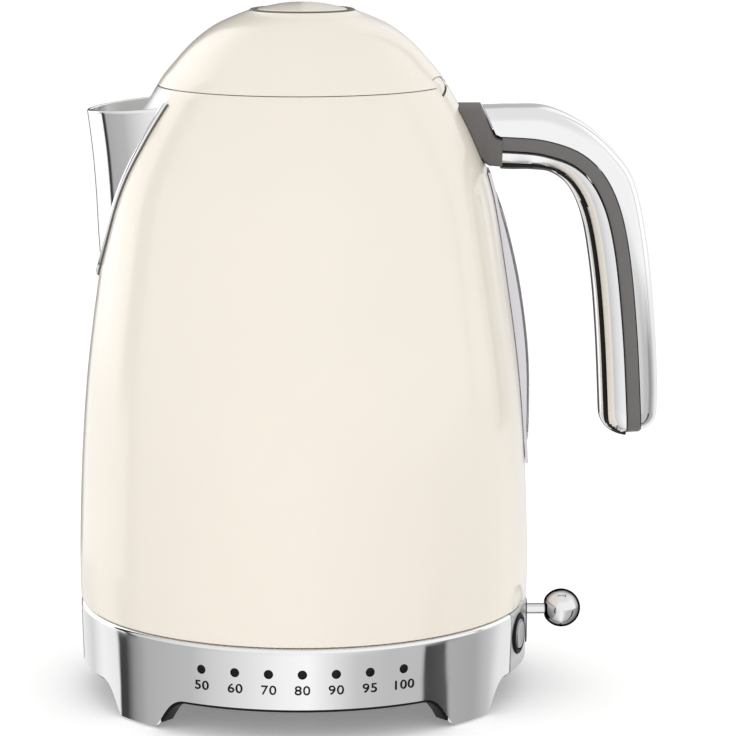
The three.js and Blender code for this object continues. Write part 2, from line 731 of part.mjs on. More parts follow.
function lidInnerCover() {
  const cup = turned([
    [0, plugBottom], [46, plugBottom], [46, 232.4], [plugRadius, 232.4], [plugRadius, 236.4],
    [50.6, 236.4], [50.2, 237.8], [45, 237.8], [45, 234], [44.4, 231.6], [0, 231.6],
  ]);
  const clear = alongHinge(lidNotch + gap, hingeNotchHalf);
  const barrel = alongHinge(knuckleRadius, barrelHalf).intersect(underSkin());
  const web = box(46, 50, -11.5, 11.5, 235, 237.5);
  const bore = alongHinge(pinBore, 14);
  const latchSlot = box(-50, -40, -4.6, 4.6, 232.7, 235.9);
  return cup.subtract(clear).add(barrel).add(web).subtract(bore).subtract(latchSlot);
}

function buttonCollar() {
  return turned([
    [3.6, 249], [20, 249], [20, 263.7], [19.4, 264.2], [18.1, 264.0], [18.1, 250.5], [3.6, 250.5],
  ], mediumSegments);
}

function lidButton() {
  return turned([
    [0, 246], [3, 246], [3, 262], [15.9, 261.4], [15.9, 257.5], [capRadius, 257.5],
    [capRadius, 263.5], [16.9, 264.4], [14, 265.2], [9.5, 266.2], [5, 266.65], [0, capTop],
  ], mediumSegments);
}

function lidLatch() {
  return slab([
    [-47.9, 233], [-6, 233], [-6, 244], [-9, 241], [-9, 235.6], [-46.9, 235.6], [-47.9, 234.6],
  ], 4);
}

function lidPieces() {
  add('lid_shell', largest(lidShell()), enamel);
  add('lid_inner_cover', largest(lidInnerCover()), greyPlastic);
  add('lid_seal', turned([[46.3, 230.3], [47.9, 230.6], [47.9, 231.4], [46.3, 232.1]]), silicone);
  add('lid_button_collar', buttonCollar(), greyPlastic);
  add('lid_button', lidButton(), enamel);
  add('button_spring', spring(6, 0.45, 250.8, 261.1, 4), satinSteel);
  add('lid_latch', lidLatch(), greyPlastic);
}

powerBase();
controls();
kettleBody();
gaugePieces();
handlePieces();
lidPieces();

export default model;
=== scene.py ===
"""A cordless electric kettle on its temperature base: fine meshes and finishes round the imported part."""
import math

import bmesh
import bpy
from mathutils import Matrix, Vector


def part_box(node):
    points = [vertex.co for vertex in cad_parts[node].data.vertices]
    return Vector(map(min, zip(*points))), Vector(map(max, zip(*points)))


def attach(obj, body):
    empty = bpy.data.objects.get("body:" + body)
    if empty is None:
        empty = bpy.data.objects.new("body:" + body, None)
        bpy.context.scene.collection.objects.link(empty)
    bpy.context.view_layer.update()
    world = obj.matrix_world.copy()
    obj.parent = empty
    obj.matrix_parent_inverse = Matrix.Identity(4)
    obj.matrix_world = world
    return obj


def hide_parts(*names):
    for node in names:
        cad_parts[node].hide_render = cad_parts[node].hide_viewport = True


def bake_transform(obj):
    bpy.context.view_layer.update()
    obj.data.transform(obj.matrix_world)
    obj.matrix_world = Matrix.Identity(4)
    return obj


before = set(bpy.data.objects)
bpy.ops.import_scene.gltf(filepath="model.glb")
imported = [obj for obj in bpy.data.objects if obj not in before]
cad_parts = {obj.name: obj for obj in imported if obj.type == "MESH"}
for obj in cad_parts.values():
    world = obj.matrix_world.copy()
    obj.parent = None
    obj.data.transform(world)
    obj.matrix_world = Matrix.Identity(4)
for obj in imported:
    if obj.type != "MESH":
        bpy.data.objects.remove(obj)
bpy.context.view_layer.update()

# Shapes are drawn in millimetres about the body's axis, then placed in metres.
MM = 0.001
DECK_LOW, DECK_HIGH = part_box("base_deck")
AXIS_X = (DECK_LOW[0] + DECK_HIGH[0]) / 2
GAP = 0.3
SHEET = 1.2
ROUND_STEPS = 192
SMALL_STEPS = 64


# ---------------------------------------------------------------- camera

def add_camera():
    data = bpy.data.cameras.new("camera")
    camera = bpy.data.objects.new("camera", data)
    bpy.context.collection.objects.link(camera)
    camera.location = (-0.0251, -1.249, 0.3484)
    aim = Vector((0, 0, 0.1252)) - camera.location
    camera.rotation_euler = aim.to_track_quat("-Z", "Y").to_euler()
    data.lens = 159.8
    data.sensor_width = 36
    data.clip_end = 50
    bpy.context.scene.camera = camera


# ---------------------------------------------------------------- finishes

def feed(tree, socket, value):
    """Links a socket to another node's output, or gives it a plain value."""
    if isinstance(value, bpy.types.NodeSocket):
        tree.links.new(value, socket)
    else:
        socket.default_value = value


def add_node(tree, kind, **settings):
    """A node with its settings and inputs. An input's name has _ for each space."""
    node = tree.nodes.new(kind)
    for name, value in settings.items():
        socket = name.replace("_", " ")
        if socket in node.inputs:
            feed(tree, node.inputs[socket], value)
        else:
            setattr(node, name, value)
    return node


def calculate(tree, operation, *terms):
    node = add_node(tree, "ShaderNodeMath", operation=operation)
    for socket, term in zip(node.inputs, terms):
        feed(tree, socket, term)
    return node.outputs[0]


def map_range(tree, value, **ends):
    return add_node(tree, "ShaderNodeMapRange", Value=value, **ends).outputs["Result"]


def mix_colours(tree, share, first, second):
    node = add_node(tree, "ShaderNodeMix", data_type="RGBA")
    for place, value in ((0, share), (6, first), (7, second)):
        feed(tree, node.inputs[place], value)
    return node.outputs[2]


def texture_group(name, build):
    """A node group that turns object coordinates and a scale into a mask and a height."""
    tree = bpy.data.node_groups.new(name, "ShaderNodeTree")
    for way, socket, kind in (("INPUT", "Vector", "Vector"), ("INPUT", "Scale", "Float"),
                              ("OUTPUT", "Mask", "Float"), ("OUTPUT", "Height", "Float")):
        tree.interface.new_socket(socket, in_out=way, socket_type="NodeSocket" + kind)
    enter = tree.nodes.new("NodeGroupInput").outputs
    mask, height = build(tree, enter["Vector"], enter["Scale"])
    add_node(tree, "NodeGroupOutput", Mask=mask, Height=height)
    return tree


def noise(tree, vector, scale, detail, factor=1.0, distortion=0.0):
    return add_node(tree, "ShaderNodeTexNoise", Vector=vector, Scale=calculate(tree, "MULTIPLY", scale, factor),
                    Detail=detail, Distortion=distortion).outputs["Fac"]


def handled_surface(tree, vector, scale):
    """Soft smudges from hands, with the faint waviness of a rolled or sprayed skin."""
    broad = noise(tree, vector, scale, 3.0, 0.18, 0.6)
    fine = noise(tree, vector, scale, 2.0, 4.0)
    both = calculate(tree, "MULTIPLY_ADD", fine, 0.25, broad)
    return map_range(tree, both, From_Min=0.42, From_Max=0.82), noise(tree, vector, scale, 1.0, 2.2)


def moulded_grain(tree, vector, scale):
    """The spark-eroded grain of moulded plastic."""
    grain = noise(tree, vector, scale, 4.0, 6.0)
    cells = add_node(tree, "ShaderNodeTexVoronoi", Vector=vector, Scale=calculate(tree, "MULTIPLY", scale, 9.0))
    height = calculate(tree, "ADD", grain, cells.outputs["Distance"])
    return noise(tree, vector, scale, 3.0, 0.3), height


HANDLED = texture_group("handled surface", handled_surface)
GRAIN = texture_group("moulded grain", moulded_grain)


def finish(name, colour, roughness, metallic=0.0, pattern=HANDLED, scale=100.0, stretch=(1, 1, 1),
           rough_change=0.05, tone_change=0.03, bump=0.02, bump_distance=0.0002, **sockets):
    """One material: a colour and gloss that wander a little, and a relief from its pattern."""
    material = bpy.data.materials.new(name)
    material.use_nodes = True
    tree = material.node_tree
    shader = tree.nodes["Principled BSDF"]
    place = tree.nodes.new("ShaderNodeTexCoord").outputs["Object"]
    centred = add_node(tree, "ShaderNodeMapping", Vector=place, Scale=stretch, Location=(-AXIS_X, 0, 0))
    group = add_node(tree, "ShaderNodeGroup", node_tree=pattern, Scale=scale,
                     Vector=centred.outputs["Vector"]).outputs
    worn = tuple(part * (1 - tone_change) for part in colour)
    relief = add_node(tree, "ShaderNodeBump", Strength=bump, Distance=bump_distance, Height=group["Height"])
    sockets["Metallic"] = metallic
    sockets["Base_Color"] = mix_colours(tree, group["Mask"], (*colour, 1), (*worn, 1))
    sockets["Roughness"] = map_range(tree, group["Mask"], To_Min=roughness, To_Max=roughness + rough_change)
    sockets["Normal"] = relief.outputs["Normal"]
    for socket, value in sockets.items():
        feed(tree, shader.inputs[socket.replace("_", " ")], value)
    return material


def painted_rim_shade(material):
    """Paints a near-black base colour on a polished metal where its surface turns away from the view: painted
    shade along the outline, standing in for dark reflections.
    """
    tree = material.node_tree
    colour = tree.nodes["Principled BSDF"].inputs["Base Color"]
    bright = colour.links[0].from_socket
    facing = add_node(tree, "ShaderNodeLayerWeight", Blend=0.5).outputs["Facing"]
    amount = map_range(tree, facing, From_Min=0.30, From_Max=0.62)
    feed(tree, colour, mix_colours(tree, amount, bright, (0.01, 0.01, 0.01, 1)))


ENAMEL = finish("cream enamel", (0.835, 0.775, 0.683), 0.16, scale=150, rough_change=0.06,
                tone_change=0.012, bump=0.05, Coat_Weight=0.35, Coat_Roughness=0.03)
CHROME = finish("polished steel", (0.90, 0.90, 0.91), 0.035, 1.0, scale=120, rough_change=0.05,
                tone_change=0.02, bump=0.01)
LEVER_STEEL = finish("steel with painted edge shade", (0.86, 0.86, 0.87), 0.05, 1.0, scale=120, rough_change=0.05,
                     tone_change=0.02, bump=0.01, Specular_Tint=(0.02, 0.02, 0.02, 1))
# the knob and its stem get painted shade along their outlines
painted_rim_shade(LEVER_STEEL)
SMOKED = finish("smoked steel", (0.34, 0.34, 0.35), 0.14, 1.0, scale=120, rough_change=0.08,
                tone_change=0.05, bump=0.02)
SATIN = finish("satin brushed steel", (0.60, 0.595, 0.59), 0.26, 1.0, scale=60, stretch=(1, 1, 40),
               rough_change=0.14, tone_change=0.10, bump=0.18, bump_distance=0.00008)
INSIDE = finish("drawn steel inside", (0.62, 0.615, 0.60), 0.22, 1.0, scale=30, stretch=(1, 1, 30),
                rough_change=0.14, tone_change=0.08, bump=0.12, bump_distance=0.0001)
GREY = finish("grey moulded plastic", (0.130, 0.122, 0.118), 0.46, pattern=GRAIN, scale=320,
              rough_change=0.10, tone_change=0.10, bump=0.12, bump_distance=0.0001)
STRIP = finish("grey handle strip", (0.140, 0.133, 0.128), 0.48, pattern=GRAIN, scale=320,
               rough_change=0.10, tone_change=0.08, bump=0.12, bump_distance=0.0001)
BLACK = finish("black moulded plastic", (0.010, 0.009, 0.009), 0.45, pattern=GRAIN, scale=320,
               rough_change=0.12, tone_change=0.25, bump=0.14, bump_distance=0.0001,
               Specular_IOR_Level=0.12)
PALE = finish("pale grey plastic", (0.56, 0.54, 0.51), 0.45, pattern=GRAIN, scale=320,
              rough_change=0.10, tone_change=0.06, bump=0.10, bump_distance=0.0001)
GAUGE_STEEL = finish("pale satin steel", (0.78, 0.76, 0.79), 0.30, 1.0, scale=60, stretch=(1, 1, 0.05),
                     rough_change=0.12, tone_change=0.06, bump=0.10, bump_distance=0.00008)
CLEAR = finish("smoky gauge plastic", (0.55, 0.54, 0.56), 0.04, scale=120, rough_change=0.05,
               tone_change=0.02, bump=0.02, Transmission_Weight=0.75, IOR=1.45)
SILICONE = finish("grey silicone", (0.30, 0.30, 0.295), 0.62, pattern=GRAIN, scale=200,
                  rough_change=0.12, tone_change=0.12, bump=0.10, bump_distance=0.0001)
BRASS = finish("brass", (0.68, 0.50, 0.22), 0.20, 1.0, scale=160, rough_change=0.16,
               tone_change=0.18, bump=0.05)
BOARD = finish("circuit board lacquer", (0.012, 0.070, 0.030), 0.28, pattern=GRAIN, scale=90,
               rough_change=0.15, tone_change=0.4, bump=0.3, Coat_Weight=0.5)
LENS = finish("dark light lens", (0.004, 0.004, 0.005), 0.22, scale=300, rough_change=0.08,
              tone_change=0.2, bump=0.02, Specular_IOR_Level=0.2)
INK = finish("black printing ink", (0.006, 0.006, 0.006), 0.55, pattern=GRAIN, scale=600,
             rough_change=0.10, tone_change=0.3, bump=0.05, Specular_IOR_Level=0.15)

CAD_FINISHES = {
    "enamel": ENAMEL, "polished_steel": CHROME, "satin_steel": SATIN, "grey_plastic": GREY,
    "black_plastic": BLACK, "clear_plastic": CLEAR, "silicone": SILICONE, "brass": BRASS,
    "circuit_board": BOARD, "light_window": LENS,
}


# ---------------------------------------------------------------- shaping

def turned(points, steps=ROUND_STEPS, whole=True):
    """A [radius, height] line spun about the body's axis. Its ends are joined first if it is whole."""
    bm = bmesh.new()
    verts = [bm.verts.new((r, 0, z)) for r, z in points]
    edges = [bm.edges.new(pair) for pair in zip(verts, verts[1:])]
    if whole and points[0][0] + points[-1][0] > 0:
        edges.append(bm.edges.new((verts[-1], verts[0])))
    bmesh.ops.spin(bm, geom=verts + edges, cent=(0, 0, 0), axis=(0, 0, 1), dvec=(0, 0, 0),
                   angle=2 * math.pi, steps=steps, use_merge=True)
    return merged(bm)


def merged(bm):
    """Joins the corners that meet, and points every face outwards."""
    bmesh.ops.remove_doubles(bm, verts=bm.verts, dist=0.002)
    bmesh.ops.dissolve_degenerate(bm, edges=bm.edges, dist=0.0005)
    bmesh.ops.recalc_face_normals(bm, faces=bm.faces)
    return bm


def mapped_grid(columns, rows, point):
    """A grid of faces whose corners are carried to point(u, v), with u and v from 0 to 1."""
    bm = bmesh.new()
    bmesh.ops.create_grid(bm, x_segments=columns, y_segments=rows, size=0.5)
    for vert in bm.verts:
        vert.co = Vector(point(vert.co.x + 0.5, vert.co.y + 0.5))
    return bm


def block(x0, x1, y0, y1, z0, z1):
    bm = bmesh.new()
    bmesh.ops.create_cube(bm, size=1)
    bmesh.ops.scale(bm, vec=(x1 - x0, y1 - y0, z1 - z0), verts=bm.verts)
    bmesh.ops.translate(bm, vec=((x0 + x1) / 2, (y0 + y1) / 2, (z0 + z1) / 2), verts=bm.verts)
    return bm


def rod(radius, start, end, steps=SMALL_STEPS):
    """A straight round bar between two points."""
    bm = bmesh.new()
    start, end = Vector(start), Vector(end)
    bmesh.ops.create_cone(bm, cap_ends=True, segments=steps, radius1=radius, radius2=radius,
                          depth=(end - start).length)
    turn = (end - start).to_track_quat("Z", "Y").to_matrix().to_4x4()
    bmesh.ops.transform(bm, matrix=Matrix.Translation((start + end) / 2) @ turn, verts=bm.verts)
    return bm


def stretched(bm, way):
    """Carries flat faces along a way, which leaves a closed solid."""
    grown = bmesh.ops.extrude_face_region(bm, geom=bm.faces[:])["geom"]
    moved = [part for part in grown if isinstance(part, bmesh.types.BMVert)]
    bmesh.ops.translate(bm, vec=way, verts=moved)
    bmesh.ops.recalc_face_normals(bm, faces=bm.faces)
    return bm


def slab(points, half_width):
    """A side outline of [x, z] points carried across in y."""
    bm = bmesh.new()
    bm.faces.new([bm.verts.new((x, -half_width, z)) for x, z in points])
    return stretched(bm, (0, 2 * half_width, 0))


def closed(bm):
    """Fills the open ends and points every face outwards."""
    bmesh.ops.holes_fill(bm, edges=[edge for edge in bm.edges if edge.is_boundary])
    bmesh.ops.recalc_face_normals(bm, faces=bm.faces)
    return bm


def soften(bm, width, segments=3, beyond=30, where=None):
    """Rounds the edges that turn by more than an angle, or those of them that pass a test."""
    edges = [edge for edge in bm.edges if len(edge.link_faces) == 2
             and edge.calc_face_angle(0) > math.radians(beyond) and (where is None or where(edge))]
    bmesh.ops.bevel(bm, geom=edges, offset=width, offset_type="OFFSET", segments=segments,
                    profile=0.5, affect="EDGES", clamp_overlap=True, material=-1)
    return bm


def thicken(bm, thickness):
    """Gives a skin a wall on its inner side."""
    bmesh.ops.recalc_face_normals(bm, faces=bm.faces)
    bmesh.ops.solidify(bm, geom=bm.faces[:], thickness=thickness)
    return bm


def turn_to(bm, degrees):
    bmesh.ops.rotate(bm, cent=(0, 0, 0), matrix=Matrix.Rotation(math.radians(degrees), 3, "Z"),
                     verts=bm.verts)
    return bm


def outwards(bm, height, degrees):
    """Lays a turned shape down so that its axis points out through the base's side."""
    bmesh.ops.rotate(bm, cent=(0, 0, 0), matrix=Matrix.Rotation(math.pi / 2, 3, "Y"), verts=bm.verts)
    bmesh.ops.translate(bm, vec=(0, 0, height), verts=bm.verts)
    return turn_to(bm, degrees)


def scratch(bm):
    """A throw-away object, for the modifier that cuts."""
    mesh = bpy.data.meshes.new("scratch")
    bm.to_mesh(mesh)
    bm.free()
    obj = bpy.data.objects.new("scratch", mesh)
    bpy.context.collection.objects.link(obj)
    return obj


def combine(bm, tool, operation="DIFFERENCE"):
    """Cuts, joins or keeps the shared part of two closed shapes. Both are used up."""
    target, cutter = scratch(bm), scratch(tool)
    modifier = target.modifiers.new("combine", "BOOLEAN")
    modifier.solver = "MANIFOLD"
    modifier.operation = operation
    modifier.object = cutter
    depsgraph = bpy.context.evaluated_depsgraph_get()
    depsgraph.update()
    result = bpy.data.meshes.new_from_object(target.evaluated_get(depsgraph))
    out = bmesh.new()
    out.from_mesh(result)
    for obj in (target, cutter):
        mesh = obj.data
        bpy.data.objects.remove(obj)
        bpy.data.meshes.remove(mesh)
    bpy.data.meshes.remove(result)
    if not out.faces:
        raise ValueError("a cut left nothing")
    return out


def join(*shapes):
    """Several closed shapes in one mesh."""
    first = shapes[0]
    for other in shapes[1:]:
        mesh = bpy.data.meshes.new("scratch")
        other.to_mesh(mesh)
        other.free()
        first.from_mesh(mesh)
        bpy.data.meshes.remove(mesh)
    return first


def largest(bm):
    """Only the biggest connected part, without slivers that a cut leaves."""
    left, islands = set(bm.faces), []
    while left:
        stack, island = [left.pop()], []
        while stack:
            face = stack.pop()
            island.append(face)
            for edge in face.edges:
                for other in edge.link_faces:
                    if other in left:
                        left.remove(other)
                        stack.append(other)
        islands.append(island)
    islands.sort(key=lambda faces: -sum(face.calc_area() for face in faces))
    spare = [face for island in islands[1:] for face in island]
    if spare:
        bmesh.ops.delete(bm, geom=spare, context="FACES")
    return bm


def piece(name, bm, material, body, nodes=(), sharp=35, second=None, weighted=False):
    """Places a finished shape in metres, with its material, body and the CAD nodes it stands for.
    """
    if second:
        for face in bm.faces:
            if second[1](face.calc_center_median(), face.normal):
                face.material_index = 1
    bmesh.ops.scale(bm, vec=(MM, MM, MM), verts=bm.verts)
    bmesh.ops.translate(bm, vec=(AXIS_X, 0, 0), verts=bm.verts)
    mesh = bpy.data.meshes.new(name)
    bm.to_mesh(mesh)
    bm.free()
    mesh.materials.append(material)
    if second:
        mesh.materials.append(second[0])
    mesh.shade_smooth()
    mesh.set_sharp_from_angle(angle=math.radians(sharp))
    obj = bpy.data.objects.new(name, mesh)
    bpy.context.collection.objects.link(obj)
    if weighted:
        modifier = obj.modifiers.new("even shading", "WEIGHTED_NORMAL")
        modifier.keep_sharp = True
    if isinstance(body, tuple):
        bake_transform(obj)
    else:
        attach(obj, body)
    if nodes:
        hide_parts(*nodes)
    return obj


# ---------------------------------------------------------------- lines

def smooth_line(points, count):
    """Evenly stepped points on a curve that passes through all the given ones."""
    out = []
    for step in range(count + 1):
        place = (len(points) - 1) * step / count
        i = min(int(place), len(points) - 2)
        t = place - i
        p0, p1, p2, p3 = (points[max(min(k, len(points) - 1), 0)] for k in (i - 1, i, i + 1, i + 2))
        out.append(tuple(
            0.5 * (2 * b + (c - a) * t + (2 * a - 5 * b + 4 * c - d) * t * t
                   + (3 * b - a - 3 * c + d) * t ** 3)
            for a, b, c, d in zip(p0, p1, p2, p3)))
    return out


def read_line(line, height):
    """The first value where the second one reaches a height, on a line that rises."""
    for low, high in zip(line, line[1:]):
        if high[1] >= height:
            break
    share = (height - low[1]) / (high[1] - low[1])
    return low[0] + (high[0] - low[0]) * share


BODY_RADIUS = 87.3
BODY_LINE = [(min(radius, BODY_RADIUS), height) for radius, height in smooth_line([
    (85.3, 36.5), (86.8, 38.2), (87.2, 42), (87.3, 55), (86.1, 90), (83.5, 125), (78.9, 160),
    (73.0, 195), (65.3, 217), (55.1, 236), (49.0, 244), (41.6, 252), (33.7, 258), (25.7, 261.8),
    (19.6, 264.1),
], 280)]


def body_radius(height):
    return read_line(BODY_LINE, height)


def body_line(bottom, top, sideways=0.0, up=0.0, step=2.5):
    """[radius, height] points up the body, moved sideways and up."""
    count = max(int((top - bottom) / step), 1)
    heights = [bottom + (top - bottom) * i / count for i in range(count + 1)]
    return [(body_radius(z) + sideways, z + up) for z in heights]


def body_block(growth):
    side = body_line(55, 235.6, growth)
    return turned([(0, 30), (BODY_RADIUS + growth, 30)] + side + [(0, 235.6)])


def body_band(inside, outside, bottom, top):
    return turned(body_line(bottom, top, outside) + body_line(bottom, top, inside)[::-1])


def coil(name, node, radius, wire, turns, bodies):
    """A round-wire spring in the CAD spring's place."""
    low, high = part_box(node)
    x = (low[0] + high[0]) / 2 / MM - AXIS_X / MM
    bottom, top = low[2] / MM + wire, high[2] / MM - wire

    def point(u, v):
        around, across = 2 * math.pi * turns * u, 2 * math.pi * v
        reach = radius + wire * math.cos(across)
        return (x + reach * math.cos(around), reach * math.sin(around),
                bottom + (top - bottom) * u + wire * math.sin(across))
    bm = closed(merged(mapped_grid(40 * turns, 10, point)))
    middle = AXIS_X + x * MM
    blend = (*bodies, (middle, 0, low[2]), (middle, 0, high[2]))
    piece(name, bm, SATIN, blend, [node])


# ---------------------------------------------------------------- power base

SKIRT_RADIUS = 87.1
SKIRT_BOTTOM = 0.9
ARCH_TOP = 12.7
ARCH_SIDE = 15.2
# each arch's direction, and half the angle that it spans
ARCHES = ((-90, 41.0), (90, 41.0), (0, 37.5), (180, 37.5))
PANEL_HALF = 36.4
LIGHT_HEIGHT = 26.2
LIGHT_SPACING = 12.5
LIGHT_ANGLES = [math.degrees(math.asin(i * LIGHT_SPACING / SKIRT_RADIUS)) - 90.5 for i in range(-3, 4)]
NUMBER_HEIGHT = 20.0
BUTTON_HEIGHT = 25.8
BUTTON_ANGLE = 18
PIVOT_X, PIVOT_Z = 52, 28.6
COVER_SCREW_X = 58


def arch_height(x, y):
    """How far the arches lift the base's lower edge at this place round it."""
    angle = math.degrees(math.atan2(y, x))
    for direction, foot_angle in ARCHES:
        away = abs((angle - direction + 180) % 360 - 180)
        foot = math.radians(foot_angle) * SKIRT_RADIUS
        reach = math.radians(away) * SKIRT_RADIUS
        if reach >= foot:
            continue
        if reach <= foot - ARCH_SIDE:
            return ARCH_TOP
        # the arch's side is a cubic curve, so halving finds how far along it this place is
        low, high = 0.0, 1.0
        for _ in range(24):
            t = (low + high) / 2
            along = foot - 3 * 4.8 * t * (1 - t) ** 2 - 3 * 6.8 * t * t * (1 - t) - ARCH_SIDE * t ** 3
            low, high = (t, high) if along > reach else (low, t)
        return 3 * 3 * t * (1 - t) ** 2 + 3 * ARCH_TOP * t * t * (1 - t) + ARCH_TOP * t ** 3
    return 0.0


def lift_lower_edge(bm, drop, floor, below):
    """Raises what is under the arches to their line, and squeezes the wall above it."""
    for vert in bm.verts:
        x, y, z = vert.co
        edge = max(arch_height(x, y) - drop, floor)
        if z < below and edge > floor:
            vert.co.z = edge + (z - floor) * (below - edge) / (below - floor)


SHOULDER = [(87.1, 34.2), (86.98, 34.9), (86.7, 35.45), (86.2, 35.75), (85.6, 35.9)]
SKIRT_LINE = [(86.6, SKIRT_BOTTOM), (86.66, 4.5), (86.8, 13.5), (86.95, 20), (87.1, 30), *SHOULDER,
              (84.2, 35.9)]
PANEL_LINE = [(86.8, ARCH_TOP), (86.95, 21), (87.1, 30), *SHOULDER]


def light_holes(bm, radius, steps):
    for angle in LIGHT_ANGLES:
        hole = rod(radius, (70, 0, LIGHT_HEIGHT), (95, 0, LIGHT_HEIGHT), steps)
        bm = combine(bm, turn_to(hole, angle))
    return bm


def base_skirt():
    bm = turned(SKIRT_LINE, 720, whole=False)
    for side in (-1, 1):
        near = [part for part in bm.faces if part.calc_center_median().x > 60]
        parts = near + list({e for f in near for e in f.edges}) + list({v for f in near for v in f.verts})
        bmesh.ops.bisect_plane(bm, geom=parts, plane_co=(0, side * PANEL_HALF, 0), plane_no=(0, 1, 0),
                               dist=0.001)
    panel_place = [face for face in bm.faces if face.calc_center_median().x > 60
                   and abs(face.calc_center_median().y) < PANEL_HALF]
    bmesh.ops.delete(bm, geom=panel_place, context="FACES")
    lift_lower_edge(bm, 0, SKIRT_BOTTOM, 30)
    thicken(bm, 1.55)
    soften(bm, 0.35, 2, 50)
    return light_holes(bm, 1.75, 40)


def control_panel():
    last = len(PANEL_LINE) - 1

    def point(u, v):
        angle = math.asin((PANEL_HALF - GAP) * (2 * u - 1) / SKIRT_RADIUS)
        radius, z = PANEL_LINE[min(round(v * last), last)]
        return radius * math.cos(angle), radius * math.sin(angle), z
    bm = thicken(mapped_grid(96, last, point), 1.5)
    soften(bm, 0.3, 2, 50)
    for side in (-1, 1):
        hole = turned([(0, 75), (8.1, 75), (8.1, 95), (0, 95)], SMALL_STEPS)
        bm = combine(bm, outwards(hole, BUTTON_HEIGHT, side * BUTTON_ANGLE))
    return combine(bm, slot_block(3.9, 14.9, 33.5, 80, 92))


def slot_ring(half_width, bottom, top):
    """An upright outline with round ends, as edges in the plane x = 0."""
    bm = bmesh.new()
    bmesh.ops.create_circle(bm, cap_ends=False, segments=48, radius=half_width)
    bmesh.ops.rotate(bm, cent=(0, 0, 0), matrix=Matrix.Rotation(math.pi / 2, 3, "Y"), verts=bm.verts)
    for vert in bm.verts:
        vert.co.z += top - half_width if vert.co.z > 0.001 else bottom + half_width
    return bm


def slot_block(half_width, bottom, top, x0, x1):
    bm = slot_ring(half_width, bottom, top)
    bmesh.ops.contextual_create(bm, geom=bm.edges[:])
    return pushed_out(bm, x0, x1)


def pushed_out(bm, x0, x1):
    bmesh.ops.translate(bm, vec=(x0, 0, 0), verts=bm.verts)
    return stretched(bm, (x1 - x0, 0, 0))


def slot_bezel():
    bm = join(slot_ring(3.6, 15.2, 33.2), slot_ring(2.5, 16.4, 32.0))
    bmesh.ops.bridge_loops(bm, edges=bm.edges[:])
    return soften(pushed_out(bm, 84.2, 87.5), 0.3, 3, 50)


def base_chassis():
    bm = turned([(79.5, 2.5), (84.9, 2.5), (85.2, 2.8), (85.2, 31.7), (81.6, 31.7), (81.6, 12.6),
                 (79.5, 12.6)], 720)
    lift_lower_edge(bm, 1.3, 2.5, 12.59)
    bm = combine(bm, block(60, 95, 1 - PANEL_HALF, PANEL_HALF - 1, 14.5, 40))
    return light_holes(bm, 1.9, 24)


def bottom_cover():
    """The plate under the base, with a raised ring, vent slots and three screw wells."""
    bm = turned([(0, 10.2), (38, 10.2), (38.6, 9.6), (41, 9.6), (41.6, 10.2), (79.2, 10.2),
                 (79.2, 11.8), (0, 11.8)])
    for i in range(9):
        angle = -60 + 15 * i
        bm = combine(bm, turn_to(block(22, 33, -0.9, 0.9, 5, 11.0), 180 + angle))
    for i in range(3):
        well = rod(3.4, (COVER_SCREW_X, 0, 5), (COVER_SCREW_X, 0, 11.2), 40)
        bm = combine(bm, turn_to(well, 30 + 120 * i))
    return bm


def cover_screws():
    """Three cross-slotted heads in the cover's wells."""
    heads = []
    for i in range(3):
        x = COVER_SCREW_X
        head = soften(rod(2.9, (x, 0, 10.4), (x, 0, 11.2), 32), 0.25, 2, 50)
        for long, wide in ((0.4, 1.9), (1.9, 0.4)):
            head = combine(head, block(x - long, x + long, -wide, wide, 9, 10.75))
        heads.append(turn_to(head, 30 + 120 * i))
    return join(*heads)


def temperature_numbers():
    """Generic temperatures under the lights, bent round the skirt."""
    shapes = []
    for label, angle in zip(("50", "60", "70", "80", "90", "95", "100"), LIGHT_ANGLES):
        data = bpy.data.curves.new("number", "FONT")
        data.body = label
        data.size = 4.9
        data.align_x = data.align_y = "CENTER"
        data.offset = 0.045
        data.space_character = 1.08
        data.extrude = 0.06
        obj = bpy.data.objects.new("number", data)
        bpy.context.collection.objects.link(obj)
        depsgraph = bpy.context.evaluated_depsgraph_get()
        mesh = bpy.data.meshes.new_from_object(obj.evaluated_get(depsgraph))
        bpy.data.objects.remove(obj)
        bm = bmesh.new()
        bm.from_mesh(mesh)
        bpy.data.meshes.remove(mesh)
        bmesh.ops.remove_doubles(bm, verts=bm.verts, dist=0.001)
        bmesh.ops.triangulate(bm, faces=bm.faces)
        long_edges = [edge for edge in bm.edges if edge.calc_length() > 1.2]
        bmesh.ops.subdivide_edges(bm, edges=long_edges, cuts=2)
        for vert in bm.verts:
            across, up, out = vert.co
            z = NUMBER_HEIGHT + up
            wall = 86.6 + 0.5 * (z - SKIRT_BOTTOM) / 29.1
            turn = math.radians(angle) + 1.18 * across / wall
            radius = wall + 0.03 + out
            vert.co = (radius * math.cos(turn), radius * math.sin(turn), z)
        bmesh.ops.recalc_face_normals(bm, faces=bm.faces)
        shapes.append(bm)
    return join(*shapes)


